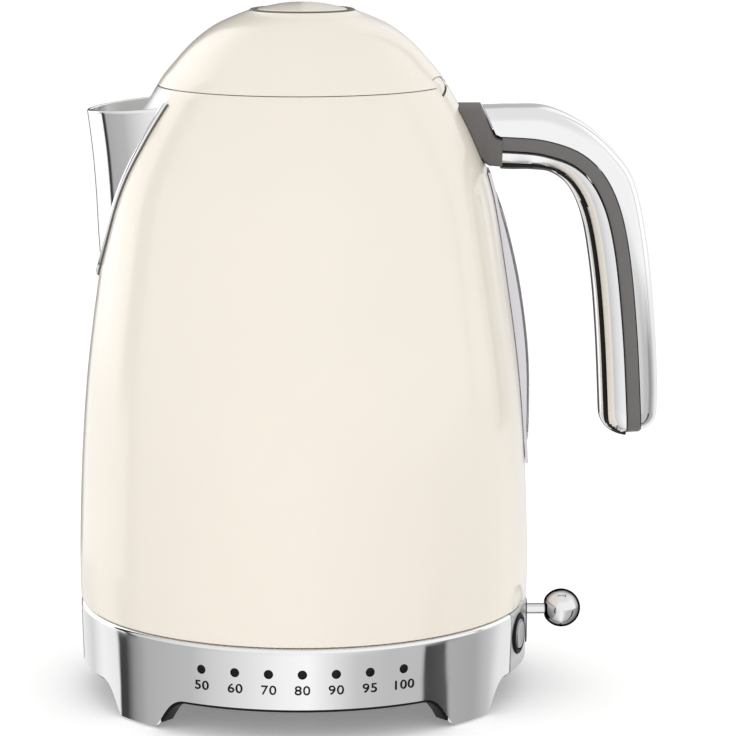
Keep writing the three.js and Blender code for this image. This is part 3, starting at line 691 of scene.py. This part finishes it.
def power_base():
    body = "power_base"
    piece("skirt", base_skirt(), CHROME, body, ["base_skirt"], weighted=True)
    piece("side_panel", control_panel(), SATIN, body, ["control_panel"], weighted=True)
    piece("inner_wall_and_feet", base_chassis(), BLACK, body, ["base_chassis"])
    deck = turned([(16.3, 32), (83.8, 32), (83.8, 35.6), (78, 35.6), (75.5, 33.4), (30, 33.4),
                   (29, 33.0), (24, 33.0), (23, 33.4), (16.3, 33.4)])
    piece("standing_plate", soften(deck, 0.3, 3), BLACK, body, ["base_deck"])
    plug = turned([(0, 28), (22, 28), (22, 31.7), (15.9, 31.7), (15.9, 44.6), (15.4, 45.2), (14.7, 45.5),
                   (13, 45.5), (13, 35.5), (11, 35.5), (11, 45.5), (2.2, 45.5), (2.2, 35.5), (0, 35.5)],
                  96)
    piece("round_plug", soften(plug, 0.25, 2), BLACK, body, ["base_connector"])
    ring = turned([(11.3, 35.8), (11.9, 35.8), (11.9, 43), (11.3, 43)], 96)
    piece("contact_ring", soften(ring, 0.12, 2), BRASS, body, ["connector_contact_ring"])
    piece("underside_cover", bottom_cover(), BLACK, body, ["base_bottom_cover"])
    piece("underside_screws", cover_screws(), SATIN, body, [])
    for name, angle in (("front_right", -43.25), ("front_left", -136.75), ("rear_right", 43.25),
                        ("rear_left", 136.75)):
        pad = soften(block(80, 84.8, -5.2, 5.2, 0, 2.2), 0.7, 4, 50)
        piece("rubber_pad_" + name, turn_to(pad, angle), SILICONE, body, ["foot_pad_" + name])
    for i, angle in enumerate(LIGHT_ANGLES, 1):
        lens = turned([(0, 79.9), (1.6, 79.9), (1.6, 86.45), (1.45, 86.7), (1.1, 86.84), (0.6, 86.9),
                       (0, 86.92)], 40)
        piece(f"light_lens_{i}", outwards(lens, LIGHT_HEIGHT, angle), LENS, body, [f"temperature_light_{i}"])
    piece("temperature_numbers", temperature_numbers(), INK, body, [], sharp=50)
    gland = turned([(3.3, 0), (4.2, 0), (4.2, 14), (3.9, 14.3), (3.5, 14.3), (3.3, 14.0)], 48)
    bmesh.ops.rotate(gland, cent=(0, 0, 0), matrix=Matrix.Rotation(-math.pi / 2, 3, "X"), verts=gland.verts)
    bmesh.ops.translate(gland, vec=(0, 54.8, 5.6), verts=gland.verts)
    piece("cord_entry", gland, BLACK, body, ["cord_gland"])


def controls():
    piece("lever_slot_ring", slot_bezel(), BLACK, "power_base", ["lever_slot_bezel"])
    for name, side in (("temperature", -1), ("warm", 1)):
        ring = turned([(6.2, 84.4), (7.8, 84.4), (7.8, 87.2), (7.66, 87.5), (7.3, 87.7), (6.7, 87.7),
                       (6.35, 87.5), (6.2, 87.2)], SMALL_STEPS)
        turn = side * BUTTON_ANGLE
        piece(name + "_ring", outwards(ring, BUTTON_HEIGHT, turn), BLACK, "power_base",
              [name + "_button_bezel"])
        cap = turned([(0, 78), (5.8, 78), (5.8, 87.3), (5.65, 87.7), (5.35, 87.93), (5.0, 88.0),
                      (4.4, 87.9), (3.0, 87.72), (0, 87.65)], SMALL_STEPS)
        piece(name + "_cap", outwards(cap, BUTTON_HEIGHT, turn), SMOKED, name + "_button",
              [name + "_button"])
    hub = soften(rod(2.8, (PIVOT_X, -4.6, PIVOT_Z), (PIVOT_X, 4.6, PIVOT_Z)), 0.3, 2, 50)
    hub = combine(hub, rod(1.5, (PIVOT_X, -9, PIVOT_Z), (PIVOT_X, 9, PIVOT_Z)))
    stem = turned([(0, 54), (2, 54), (2, 98.0), (1.8, 98.2), (0, 98.2)], 48)
    hub = combine(hub, outwards(stem, 28.8, 0), "UNION")
    piece("lever_stem", hub, LEVER_STEEL, "lever", ["lever_arm"])
    coil("lever_coil", "lever_spring", 2.4, 0.35, 5, ("power_base", "lever"))
    ball = [(2.3, 94.6), (3.3, 94.6), (3.6, 94.7)]
    for i in range(1, 30):
        angle = math.radians(151 - 151 * i / 30)
        ball.append((7.5 * math.sin(angle), 101.2 + 7.5 * math.cos(angle)))
    ball += [(0, 108.7)]
    knob = turned([(0, 98.6), (2.3, 98.6)] + ball, 96)
    piece("knob", outwards(knob, 29.1, 0), LEVER_STEEL, "lever", ["lever_knob"])


# ---------------------------------------------------------------- spout

NOSE_LINE = smooth_line([(77.7, 150), (77.9, 165), (78.7, 180), (79.4, 196), (80.5, 211),
                         (82.3, 226.2), (83, 231)], 120)
SPOUT_X = -52
SPOUT_HALF = 27.5


def spout_skin(grow_front, grow_side, bottom, top, sloping=False, steps=144, levels=60):
    """The oval column whose front lies on the nose line."""
    half_width = SPOUT_HALF + grow_side

    def point(u, v):
        angle = 2 * math.pi * u
        rise = 3.0 * (1 - math.cos(angle)) if sloping else 0
        z = bottom + (top + rise - bottom) * v
        reach = read_line(NOSE_LINE, z) + SPOUT_X + grow_front
        return SPOUT_X - reach * math.cos(angle), half_width * math.sin(angle), z
    bm = mapped_grid(steps, levels, point)
    bmesh.ops.remove_doubles(bm, verts=bm.verts, dist=0.002)
    return bm


def spout_column(grow_front, grow_side, bottom, top):
    return closed(spout_skin(grow_front, grow_side, bottom, top))


def spout():
    bm = thicken(spout_skin(0, 0, 150, 226.2, sloping=True), 1.3)
    soften(bm, 0.5, 4, 50, lambda edge: edge.verts[0].co.z > 200)
    return largest(combine(bm, body_block(GAP)))


def spout_foot(angle):
    """Where the spout's wall meets the body at this angle round it, with the way along, out and up."""
    def wall(z):
        reach = read_line(NOSE_LINE, z) + SPOUT_X + GAP
        return Vector((SPOUT_X - reach * math.cos(angle), (SPOUT_HALF + GAP) * math.sin(angle), z))
    low, high = 150.5, 231.0
    for _ in range(30):
        z = (low + high) / 2
        place = wall(z)
        low, high = (z, high) if math.hypot(place.x, place.y) < body_radius(z) else (low, z)
    slope = (body_radius(z + 1) - body_radius(z - 1)) / 2
    body_out = Vector((place.x, place.y, -slope * math.hypot(place.x, place.y))).normalized()
    wall_out = Vector((-math.cos(angle), math.sin(angle), 0)).normalized()
    along = wall_out.cross(body_out).normalized()
    away = along.cross(body_out)
    away = away if away.dot(wall_out) > 0 else -away
    up = along.cross(wall_out)
    up = up if up.dot(body_out) > 0 else -up
    return place, away.normalized(), up.normalized(), body_out


def swept_foot(section, width, reach=92.5, steps=180):
    """A closed section of [away, up] points carried round the foot of the spout."""
    def point(u, v):
        angle = math.radians(reach * (2 * u - 1))
        place, away, up, body_out = spout_foot(angle)
        across, height = section[int(round(v * len(section))) % len(section)]
        share = min(across / width, 1)
        return place + away * across + (up * (1 - share) + body_out * share) * height
    return closed(merged(mapped_grid(steps, len(section), point)))


TRIM_WIDTH = 2.4


def spout_trim():
    """The bright bead round the foot of the spout."""
    return swept_foot([(0, 0.35), (0, 1.2), (0.15, 1.5), (0.5, 1.7), (1.2, 1.8), (1.9, 1.65), (2.25, 1.35),
                       (TRIM_WIDTH, 0.9), (TRIM_WIDTH, 0.35)], TRIM_WIDTH)


def spout_shade_band():
    """A dark grey band just outside the bright bead: a painted shade line where the bead meets the body."""
    return swept_foot([(2.42, 0.1), (2.42, 0.7), (2.55, 0.75), (2.75, 0.6), (2.8, 0.1)], TRIM_WIDTH)


# ---------------------------------------------------------------- body

LIP = 235.75
HINGE_X, HINGE_Z = 50.8, 236
HINGE_HALF = 21.5
KNUCKLE = 3.2


def hinge_rod(radius, half_length):
    return rod(radius, (HINGE_X, -half_length, HINGE_Z), (HINGE_X, half_length, HINGE_Z), 48)


def hinge_notch(bm, radius, low, high):
    """Clears a shell round the hinge, and its edge behind the hinge between two heights."""
    bm = combine(bm, hinge_rod(radius, HINGE_HALF))
    return combine(bm, block(HINGE_X, 60, -HINGE_HALF, HINGE_HALF, low, high))


def hinge_barrel(half_length):
    """A length of the hinge's barrel, kept inside the outline of the body and lid."""
    skin = turned([(0, 228)] + body_line(228, 250, -GAP) + [(0, 250)])
    return combine(hinge_rod(KNUCKLE, half_length), skin, "INTERSECT")


def handle_screw_hole(end):
    """The clear way for the screw that holds the handle's mount."""
    return rod(2.3, (50, 0, 216), (end, 0, 216), 32)


def body_shell():
    outer = [(85.6, 36.15), (86.4, 36.2), (86.85, 36.5), (87.0, 37.1), (87.1, 38.3)]
    outer += body_line(41, LIP - 0.4)
    top = body_radius(LIP)
    rim = [(top - 0.06, LIP - 0.1), (top - 0.35, LIP), (top - 0.9, LIP - 0.08)]
    inner = body_line(42, LIP - 0.4, -SHEET)[::-1]
    bm = turned(outer + rim + inner + [(84.1, 36.2)])
    bm = hinge_notch(bm, 4.15, 234.9, 240)
    hole = combine(spout_column(-6, -7, 188, 222), block(-90, -50, -30, 30, 180, 230), "INTERSECT")
    bm = combine(bm, hole)
    bm = combine(bm, block(60, 95, -3.6, 3.6, 100, 195))
    return combine(bm, handle_screw_hole(90))


def bare_steel(centre, normal):
    """The body's inside, and the part of its outside that the spout covers."""
    inward = normal.x * centre.x + normal.y * centre.y < -0.2 * math.hypot(centre.x, centre.y)
    covered = (centre.x < SPOUT_X + 20 and centre.z > 186
               and ((centre.x - SPOUT_X) / 28) ** 2 + (centre.y / 26.5) ** 2 < 1)
    return inward or covered


def filter_wires():
    """A woven screen that follows the body's inside, behind the spout."""
    half, low, high = 19.7, 190.3, 219.7

    def point(u, v):
        z = low + (high - low) * v
        y = half * (2 * u - 1)
        radius = body_radius(z) - 2.9
        return -math.sqrt(radius * radius - y * y), y, z
    bm = mapped_grid(44, 33, point)
    bmesh.ops.wireframe(bm, faces=bm.faces[:], thickness=0.3, use_boundary=True, use_even_offset=True,
                        use_replace=True)
    return bm


def filter_frame():
    wall = combine(body_band(-4.2, -1.5, 184, 226), block(-90, -40, -24, 24, 185, 225), "INTERSECT")
    wall = combine(wall, block(-90, -40, -20, 20, 190, 220))
    return largest(wall)


def neck_ring():
    clear = SHEET + 0.4
    wall = [(body_radius(z) - clear, z) for z in (228.5, 231.5, 234.6)]
    ring = turned([(49.0, 228.5)] + wall + [(49.0, 234.6), (48.6, 234.2), (48.6, 228.9)])
    bm = combine(ring, hinge_rod(4.15, HINGE_HALF))
    ears = hinge_barrel(HINGE_HALF - GAP)
    ears = combine(ears, block(48.9, 52.4, -19.2, 19.2, 230, HINGE_Z), "UNION")
    ears = combine(ears, block(40, 60, -12.4, 12.4, 231, 245))
    return combine(combine(bm, ears, "UNION"), hinge_rod(1.25, 17.05))


def knuckle(centre, normal):
    """The hinge's round parts, which show between the body and the lid."""
    return math.hypot(centre.x - HINGE_X, centre.z - HINGE_Z) < KNUCKLE + 0.2


def kettle_body():
    body = "kettle"
    piece("enamelled_body", body_shell(), ENAMEL, body, ["body_shell"], second=(INSIDE, bare_steel))
    piece("pouring_spout", spout(), CHROME, body, ["spout"])
    piece("spout_band", spout_trim(), CHROME, body, ["spout_trim"])
    # the grey band outside the bead is a painted shade line
    piece("spout_shade_line", spout_shade_band(), GREY, body, [])
    piece("filter_holder", filter_frame(), GREY, body, ["filter_frame"])
    piece("filter_screen", filter_wires(), SATIN, body, ["filter_mesh"])
    piece("mouth_ring", neck_ring(), PALE, body, ["neck_ring"], second=(ENAMEL, knuckle))
    piece("hinge_rod", soften(hinge_rod(1.2, 17), 0.2, 2, 50), SATIN, body, ["hinge_pin"])
    plate = turned([(0, 51), (83.4, 51), (83.4, 52.2), (74, 52.2), (72, 51.8), (56, 51.8), (54, 52.2),
                    (0, 52.2)])
    piece("heated_floor", soften(plate, 0.2, 2), INSIDE, body, ["element_plate"])
    seal = turned([(83.7, 50), (85.7, 50), (85.7, 53), (83.7, 53)])
    piece("floor_seal", soften(seal, 0.4, 3), SILICONE, body, ["plate_seal"])
    cover = turned([(21.3, 36.0), (40, 36.0), (41, 36.5), (46, 36.5), (47, 36.0), (83.6, 36.0), (83.6, 44),
                    (82.2, 44), (82.2, 37.5), (21.3, 37.5)])
    piece("kettle_underside", soften(cover, 0.3, 3), BLACK, body, ["kettle_bottom_cover"])
    socket = turned([(0, 37.5), (1.6, 37.5), (1.6, 47), (12.2, 47), (12.2, 37.5), (12.7, 37.5), (12.7, 47),
                     (16.6, 47), (16.6, 36.3), (21, 36.3), (21, 50.6), (0, 50.6)], 96)
    piece("kettle_socket", soften(socket, 0.15, 2), BLACK, body, ["kettle_connector"])


# ---------------------------------------------------------------- water gauge

def gauge():
    crest = smooth_line([(66, 206), (70.7, 202), (76, 190), (80.7, 173), (84.3, 155), (87, 133),
                         (87.6, 113), (86.9, 97), (83.5, 91)], 56)
    outline = [(60, 91)] + crest[::-1] + [(60, 206)]
    window = slab(outline, 6.5)
    soften(window, 1.9, 5, 60, lambda edge: all(vert.co.x > 64 for vert in edge.verts)
           and abs(edge.verts[0].co.y - edge.verts[1].co.y) < 0.1)
    window = combine(window, body_block(GAP))
    window = largest(combine(window, block(40, 95, -9, 9, 80, 201), "INTERSECT"))
    piece("gauge_tube", window, CLEAR, "kettle", ["gauge_window"])
    # the frame stands a little below the tube's crest, and between 0.9 and 3.4 mm off the body
    bottom, top, rising, profile = 89, 202.4, crest[::-1], []
    for i in range(61):
        z = bottom + (top - bottom) * i / 60
        skin = body_radius(z)
        stands = read_line(rising, z) - skin - 1.3 if z > 92 else 0
        profile.append((skin + max(0.9, min(stands, 3.4)), z))
    rim = combine(slab([(60, bottom)] + profile + [(60, top)], 9), body_block(GAP))
    inside = slab([(x + GAP, z) for x, z in crest] + [(60, 91), (60, 206)], 6.8)
    piece("gauge_surround", largest(combine(rim, inside)), GAUGE_STEEL, "kettle", ["gauge_frame"])


# ---------------------------------------------------------------- handle

OUTER_EDGE = smooth_line([(56, 227.4), (72, 227.6), (80, 227.8), (94.1, 227), (109.2, 219.6), (121.6, 208),
                          (128.2, 196.4), (133, 173.1), (136.1, 143.7), (137.5, 120), (137.4, 108.5),
                          (137, 95)], 220)
INNER_EDGE = smooth_line([(117, 95), (116.3, 108.5), (114.8, 137.9), (112.6, 163), (108.9, 184.5),
                          (103.4, 197), (95.9, 203.1), (88, 204.4), (80, 204.5), (72, 204.8), (56, 204.8)],
                         220)
STRIP_LINE = smooth_line([(58, 214), (77, 213.6), (93, 212), (106.5, 206.5), (115.8, 195), (121.7, 175.1),
                          (125.7, 139.8), (128.2, 95)], 280)
END_HEIGHT = 108.5
END_DEPTH = 8.3
HANDLE_HALF = 12.5
STRIP_HALF = 2.55
SHELL_EDGE = STRIP_HALF + GAP
# the exponent of the section's rounded outline: 2 is an ellipse, more is squarer
ROUNDNESS = 2.7


def crossing(start, along, edge):
    """How far a ray from the strip line runs before it meets an edge line."""
    for a, b in zip(edge, edge[1:]):
        side = Vector((b[0] - a[0], b[1] - a[1]))
        offset = Vector(a) - start
        cross = along.x * side.y - along.y * side.x
        if abs(cross) < 1e-9:
            continue
        reach = (offset.x * side.y - offset.y * side.x) / cross
        share = (offset.x * along.y - offset.y * along.x) / cross
        if reach > 0 and -0.001 <= share <= 1.001 and reach < 40:
            return reach
    raise ValueError("no edge beside the strip line")


def handle_stations():
    """Points along the strip: each with its outward way, its reach to both edges, and how full it is."""
    stations = []
    for i in range(4, len(STRIP_LINE) - 4, 3):
        start = Vector(STRIP_LINE[i])
        if start.x < 64:
            continue
        along = Vector(STRIP_LINE[i + 2]) - Vector(STRIP_LINE[i - 2])
        out = Vector((-along.y, along.x)).normalized()
        if start.y < END_HEIGHT:
            break
        reaches = crossing(start, out, OUTER_EDGE), crossing(start, -out, INNER_EDGE)
        stations.append((start, out, *reaches, 1.0))
    last, out, outer, inner, _ = stations[-1]
    down = Vector((out.y, -out.x))
    for i in range(1, 17):
        depth = END_DEPTH * math.sin(math.pi / 2 * i / 16)
        shrink = (max(1 - (depth / END_DEPTH) ** 2.2, 0)) ** (1 / 2.2)
        stations.append((last + down * depth, out, outer * shrink, inner * shrink, shrink))
    return stations


STATIONS = handle_stations()


def section_point(station, side, v):
    """A point on one half of the rounded section. Side +1 is outside the bend."""
    start, out, outer, inner, shrink = station
    half = max((outer + inner) / 2, 1e-4)
    middle = (outer - inner) / 2
    from_strip = (SHELL_EDGE * side - middle) * side
    low = max(min(from_strip / half, 1), -1)
    first = math.asin(math.copysign(abs(low) ** (ROUNDNESS / 2), low))
    angle = first + (math.pi - 2 * first) * v
    sine, cosine = math.sin(angle), math.cos(angle)
    along = half * math.copysign(abs(sine) ** (2 / ROUNDNESS), sine)
    width = HANDLE_HALF * (0.25 + 0.75 * shrink if shrink < 1 else 1) * (1 if shrink > 0.001 else 0.2)
    across = width * math.copysign(abs(cosine) ** (2 / ROUNDNESS), cosine)
    place = start + out * (middle + side * along)
    return place.x, across, place.y


def nearest(rows, u):
    """The row at u, which runs from 0 at the first to 1 at the last."""
    return rows[min(round(u * (len(rows) - 1)), len(rows) - 1)]


def handle_shell(side):
    bm = mapped_grid(len(STATIONS) - 1, 32, lambda u, v: section_point(nearest(STATIONS, u), side, v))
    bmesh.ops.remove_doubles(bm, verts=bm.verts, dist=0.01)
    bmesh.ops.dissolve_degenerate(bm, edges=bm.edges, dist=0.01)
    return thicken(bm, 1.5)


def painted_reflection_band(centre, normal):
    """A black band painted down each side of the inner skin: a painted reflection of a dark line on the chrome.
    """
    return 8.2 < abs(centre.y) < 10.7 and centre.y * normal.y > 0


def beyond_mount(bm):
    """Trims a part of the handle where its mount begins."""
    outline = [(68.7, 240), (68.7, 228.1), (73.5, 217.4), (76, 216.2), (76, 80), (150, 80), (150, 240)]
    return combine(bm, slab(outline, 20), "INTERSECT")


def strip_half_width(station):
    """Half the width of the rounded section where the strip crosses it."""
    _, _, outer, inner, _ = station
    half, middle = (outer + inner) / 2, (outer - inner) / 2
    share = min(abs(middle) / max(half, 1e-4), 1)
    return HANDLE_HALF * (1 - share ** ROUNDNESS) ** (1 / ROUNDNESS)


def handle_strip():
    """The grey strip right through the handle, a little proud of the shells."""
    full = [station for station in STATIONS if station[4] == 1.0]
    rows = [(station[0], station[1], strip_half_width(station) + 0.12) for station in full]
    last, out, end_half = rows[-1]
    down = Vector((out.y, -out.x))
    depth_max = END_DEPTH + 0.5
    for i in range(1, 15):
        depth = depth_max * math.sin(math.pi / 2 * i / 14.6)
        rows.append((last + down * depth, out, end_half * (1 - (depth / depth_max) ** 2.4) ** (1 / 2.4)))
    corner = 0.6

    def point(u, v):
        start, direction, half = nearest(rows, u)
        angle = 2 * math.pi * v
        across = math.copysign(max(half - corner, 0), math.cos(angle)) + corner * math.cos(angle)
        along = math.copysign(STRIP_HALF - corner, math.sin(angle + 1e-6)) + corner * math.sin(angle)
        place = start + direction * along
        return place.x, across, place.y
    bm = mapped_grid(len(rows) - 1, 40, point)
    bmesh.ops.remove_doubles(bm, verts=bm.verts, dist=0.002)
    return beyond_mount(closed(bm))


def handle():
    # the black bands on the inner skin are painted reflections
    for place, side, second in (("outer", 1, None), ("inner", -1, (BLACK, painted_reflection_band))):
        piece(f"handle_{place}_skin", largest(beyond_mount(handle_shell(side))), CHROME, "kettle",
              [f"handle_{place}_shell"], second=second)
    piece("handle_grip_strip", handle_strip(), STRIP, "kettle", ["handle_core"])
    outline = [(55, 227.7), (68.5, 227.7), (73.1, 217.4), (73.7, 216.6), (74.6, 216.05), (75.95, 215.9),
               (75.95, 204.6), (71.2, 205), (69.6, 205.9), (68, 207.6), (60, 212.6), (55, 212.6)]
    # squeezed across while its edges are rounded, so that the rounding is wide and shallow
    squeeze = Matrix.Diagonal((1, 0.22, 1)).to_4x4()
    mount = slab(outline, 12.9)
    bmesh.ops.transform(mount, matrix=squeeze, verts=mount.verts)
    soften(mount, 1.3, 6, 60, lambda edge: abs(edge.verts[0].co.y - edge.verts[1].co.y) < 0.1
           and min(vert.co.x for vert in edge.verts) < 75)
    bmesh.ops.transform(mount, matrix=squeeze.inverted(), verts=mount.verts)
    mount = combine(mount, body_block(GAP))
    mount = combine(mount, handle_screw_hole(96))
    piece("handle_bracket", largest(mount), GREY, "kettle", ["handle_mount"])


# ---------------------------------------------------------------- lid

def lid_shell():
    outer = body_line(236.3, 263.7, step=1.5)
    bottom = body_radius(235.92)
    rim = [(bottom - 0.9, 236.02), (bottom - 0.4, 235.92), (bottom - 0.08, 236.0)]
    inner = body_line(237.9, 263.7, -1, -1.3, step=1.5)[::-1]
    bm = turned(rim + outer + [(20.5, 263.9), (20.3, 263.7), (20.3, 262.7)] + inner)
    return hinge_notch(bm, KNUCKLE + GAP, 230, 236.45)


def lid_inner_cover():
    cup = turned([(0, 230), (45.6, 230), (46, 230.4), (46, 232.4), (46.7, 232.4), (47, 232.7), (47, 236.4),
                  (50.6, 236.4), (50.2, 237.8), (45, 237.8), (45, 234), (44.4, 231.6), (0, 231.6)])
    for i in range(12):
        cup = combine(cup, turn_to(block(12, 26, -1, 1, 229, 230.5), 30 * i))
    cup = combine(cup, hinge_rod(3.8, HINGE_HALF))
    barrel = combine(hinge_barrel(12), block(46, 50, -11.5, 11.5, 235, 237.5), "UNION")
    cup = combine(combine(cup, barrel, "UNION"), hinge_rod(1.5, 14))
    return combine(cup, block(-50, -40, -4.6, 4.6, 232.7, 235.9))


def under_lid(centre, normal):
    """The lid's own inside, which is bare steel."""
    return normal.x * centre.x + normal.y * centre.y + normal.z * (centre.z - 215) < 0


def lid():
    piece("enamelled_lid", lid_shell(), ENAMEL, "lid", ["lid_shell"], second=(INSIDE, under_lid))
    piece("lid_lining", lid_inner_cover(), PALE, "lid", ["lid_inner_cover"],
          second=(ENAMEL, knuckle))
    seal = turned([(46.3, 230.3), (47.5, 230.45), (47.9, 230.8), (47.9, 231.2), (47.5, 231.6), (46.3, 232.1)])
    piece("lid_sealing_lip", seal, SILICONE, "lid", ["lid_seal"])
    collar = turned([(3.6, 249), (20, 249), (20, 264.05), (19.8, 264.35), (19.3, 264.5), (18.5, 264.4),
                     (18.2, 264.15), (18.1, 263.7), (18.1, 250.5), (3.6, 250.5)], 128)
    piece("button_ring", collar, GREY, "lid", ["lid_button_collar"])
    cap = turned([(0, 246), (3, 246), (3, 262), (15.9, 261.4), (15.9, 257.5), (17.6, 257.5), (17.6, 263.2),
                  (17.5, 263.7), (17.15, 264.2), (16.5, 264.55), (15.4, 264.85), (14, 265.2), (11.5, 265.75),
                  (9, 266.22), (6, 266.58), (3, 266.76), (0, 266.8)], 128)
    piece("lid_push_cap", cap, ENAMEL, "lid_button", ["lid_button"])
    coil("button_coil", "button_spring", 6, 0.45, 4, ("lid", "lid_button"))
    latch = slab([(-47.9, 233), (-6, 233), (-6, 244), (-9, 241), (-9, 235.6), (-46.9, 235.6),
                  (-47.9, 234.6)], 4)
    piece("catch", soften(latch, 0.3, 2, 50), GREY, "lid_latch", ["lid_latch"])


# ---------------------------------------------------------------- studio

def azimuth_ramp(tree, turn, flags):
    """Greys at (angle, brightness) stops round the horizon. Bright stops may pass 1."""
    ramp = tree.nodes.new("ShaderNodeValToRGB")
    tree.links.new(turn, ramp.inputs["Fac"])
    stops = ramp.color_ramp.elements
    while len(stops) < len(flags):
        stops.new(0.5)
    for stop, (angle, _) in zip(stops, flags):
        stop.position = (angle + 180) / 360
    for stop, (_, light) in zip(stops, flags):
        stop.color = (light, light, light, 1)
    return ramp.outputs["Color"]


def studio_light():
    """Soft white all round, with grey and dark flags beside the kettle for the steel to show."""
    world = bpy.data.worlds.new("soft studio")
    bpy.context.scene.world = world
    world.use_nodes = True
    tree = world.node_tree
    sky = tree.nodes["Background"].inputs
    place = tree.nodes.new("ShaderNodeTexCoord").outputs["Generated"]
    parts = add_node(tree, "ShaderNodeSeparateXYZ", Vector=place).outputs
    back = calculate(tree, "MULTIPLY", parts["Y"], -1.0)
    turn = calculate(tree, "ARCTAN2", parts["X"], back)
    share = map_range(tree, turn, From_Min=-math.pi, From_Max=math.pi)
    # azimuth from the camera's side, negative to the left, and how bright the studio is there
    low = [(-180, 0.10), (-170, 0.14), (-165, 0.90), (-150, 0.80), (-142, 0.72), (-128, 0.98), (-112, 0.90),
           (-110, 0.05), (-104, 0.06), (-98, 0.30), (-88, 0.47), (-60, 0.54), (-50, 0.66), (-30, 0.82),
           (-12, 0.98), (2, 1.05), (14, 0.84), (27, 0.62), (45, 0.56), (63, 0.56), (64.5, 0.06),
           (76, 0.10), (78, 0.46), (98, 0.42), (112, 0.62), (122, 0.88), (150, 0.95), (168, 0.90),
           (172, 0.14), (180, 0.10)]
    middle = [(-180, 0.08), (-161, 0.10), (-158, 1.1), (-104, 1.15), (-102, 0.03), (-97, 0.05), (-93, 0.45),
              (-60, 0.52), (-50, 0.62), (-30, 0.80), (0, 1.0), (20, 0.80), (45, 0.56), (63, 0.56),
              (76, 0.30), (98, 0.50), (122, 0.88), (168, 0.90), (172, 0.14), (180, 0.10)]
    high = [(-180, 0.08), (-161, 0.10), (-158, 1.4), (-140, 1.9), (-113, 1.5), (-111, 0.03), (-100, 0.04),
            (-97, 0.70), (-60, 0.85), (0, 1.0), (60, 1.0), (96, 1.05), (100, 0.45), (104, 1.1), (140, 1.2),
            (146, 0.30), (150, 1.1), (166, 1.0), (172, 0.55), (180, 0.50)]
    above = [(-180, 0.85), (180, 0.85)]
    light = azimuth_ramp(tree, share, low)
    for start, end, flags in ((-0.235, -0.215, middle), (-0.13, -0.03, high), (0.55, 0.85, above)):
        amount = map_range(tree, parts["Z"], interpolation_type="SMOOTHSTEP", From_Min=start, From_Max=end)
        light = mix_colours(tree, amount, light, azimuth_ramp(tree, share, flags))
    feed(tree, sky["Color"], light)
    sky["Strength"].default_value = 1.0
    for name, spot, size, power in (("front box", (0.2, -2.3, 0.9), 1.6, 2.6),
                                    ("left box", (-1.7, -0.9, 0.8), 1.2, 3.2),
                                    ("top box", (0.1, 0.1, 2.0), 1.6, 3.0)):
        data = bpy.data.lights.new(name, "AREA")
        data.size = size
        data.energy = power
        lamp = bpy.data.objects.new(name, data)
        lamp.location = spot
        lamp.rotation_euler = (Vector((0, 0, 0.12)) - Vector(spot)).to_track_quat("-Z", "Y").to_euler()
        lamp.visible_glossy = False
        lamp.visible_camera = False
        bpy.context.collection.objects.link(lamp)


def backing(name, bm, colour, glow):
    """A plain surface round the object, with a little light of its own."""
    material = finish("pale " + name, colour, 0.6, scale=8, rough_change=0.1, tone_change=0.01, bump=0.0,
                      Emission_Color=(1, 1, 1, 1), Emission_Strength=glow)
    mesh = bpy.data.meshes.new(name)
    bm.to_mesh(mesh)
    bm.free()
    mesh.materials.append(material)
    obj = bpy.data.objects.new(name, mesh)
    bpy.context.collection.objects.link(obj)
    return obj


def surroundings():
    disc = bmesh.new()
    bmesh.ops.create_circle(disc, cap_ends=True, segments=96, radius=6)
    ground = backing("floor", disc, (0.93, 0.93, 0.93), 0.22)
    ground.visible_glossy = False
    dome = bmesh.new()
    bmesh.ops.create_uvsphere(dome, u_segments=64, v_segments=32, radius=6)
    backdrop = backing("backdrop", dome, (0.9, 0.9, 0.9), 1.3)
    for ray in ("diffuse", "glossy", "shadow", "volume_scatter"):
        setattr(backdrop, "visible_" + ray, False)


add_camera()
bpy.context.scene.view_settings.view_transform = "Standard"
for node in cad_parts.values():
    for place in node.material_slots:
        place.material = CAD_FINISHES[place.material.name.split(".")[0]]
power_base()
controls()
kettle_body()
gauge()
handle()
lid()
studio_light()
surroundings()
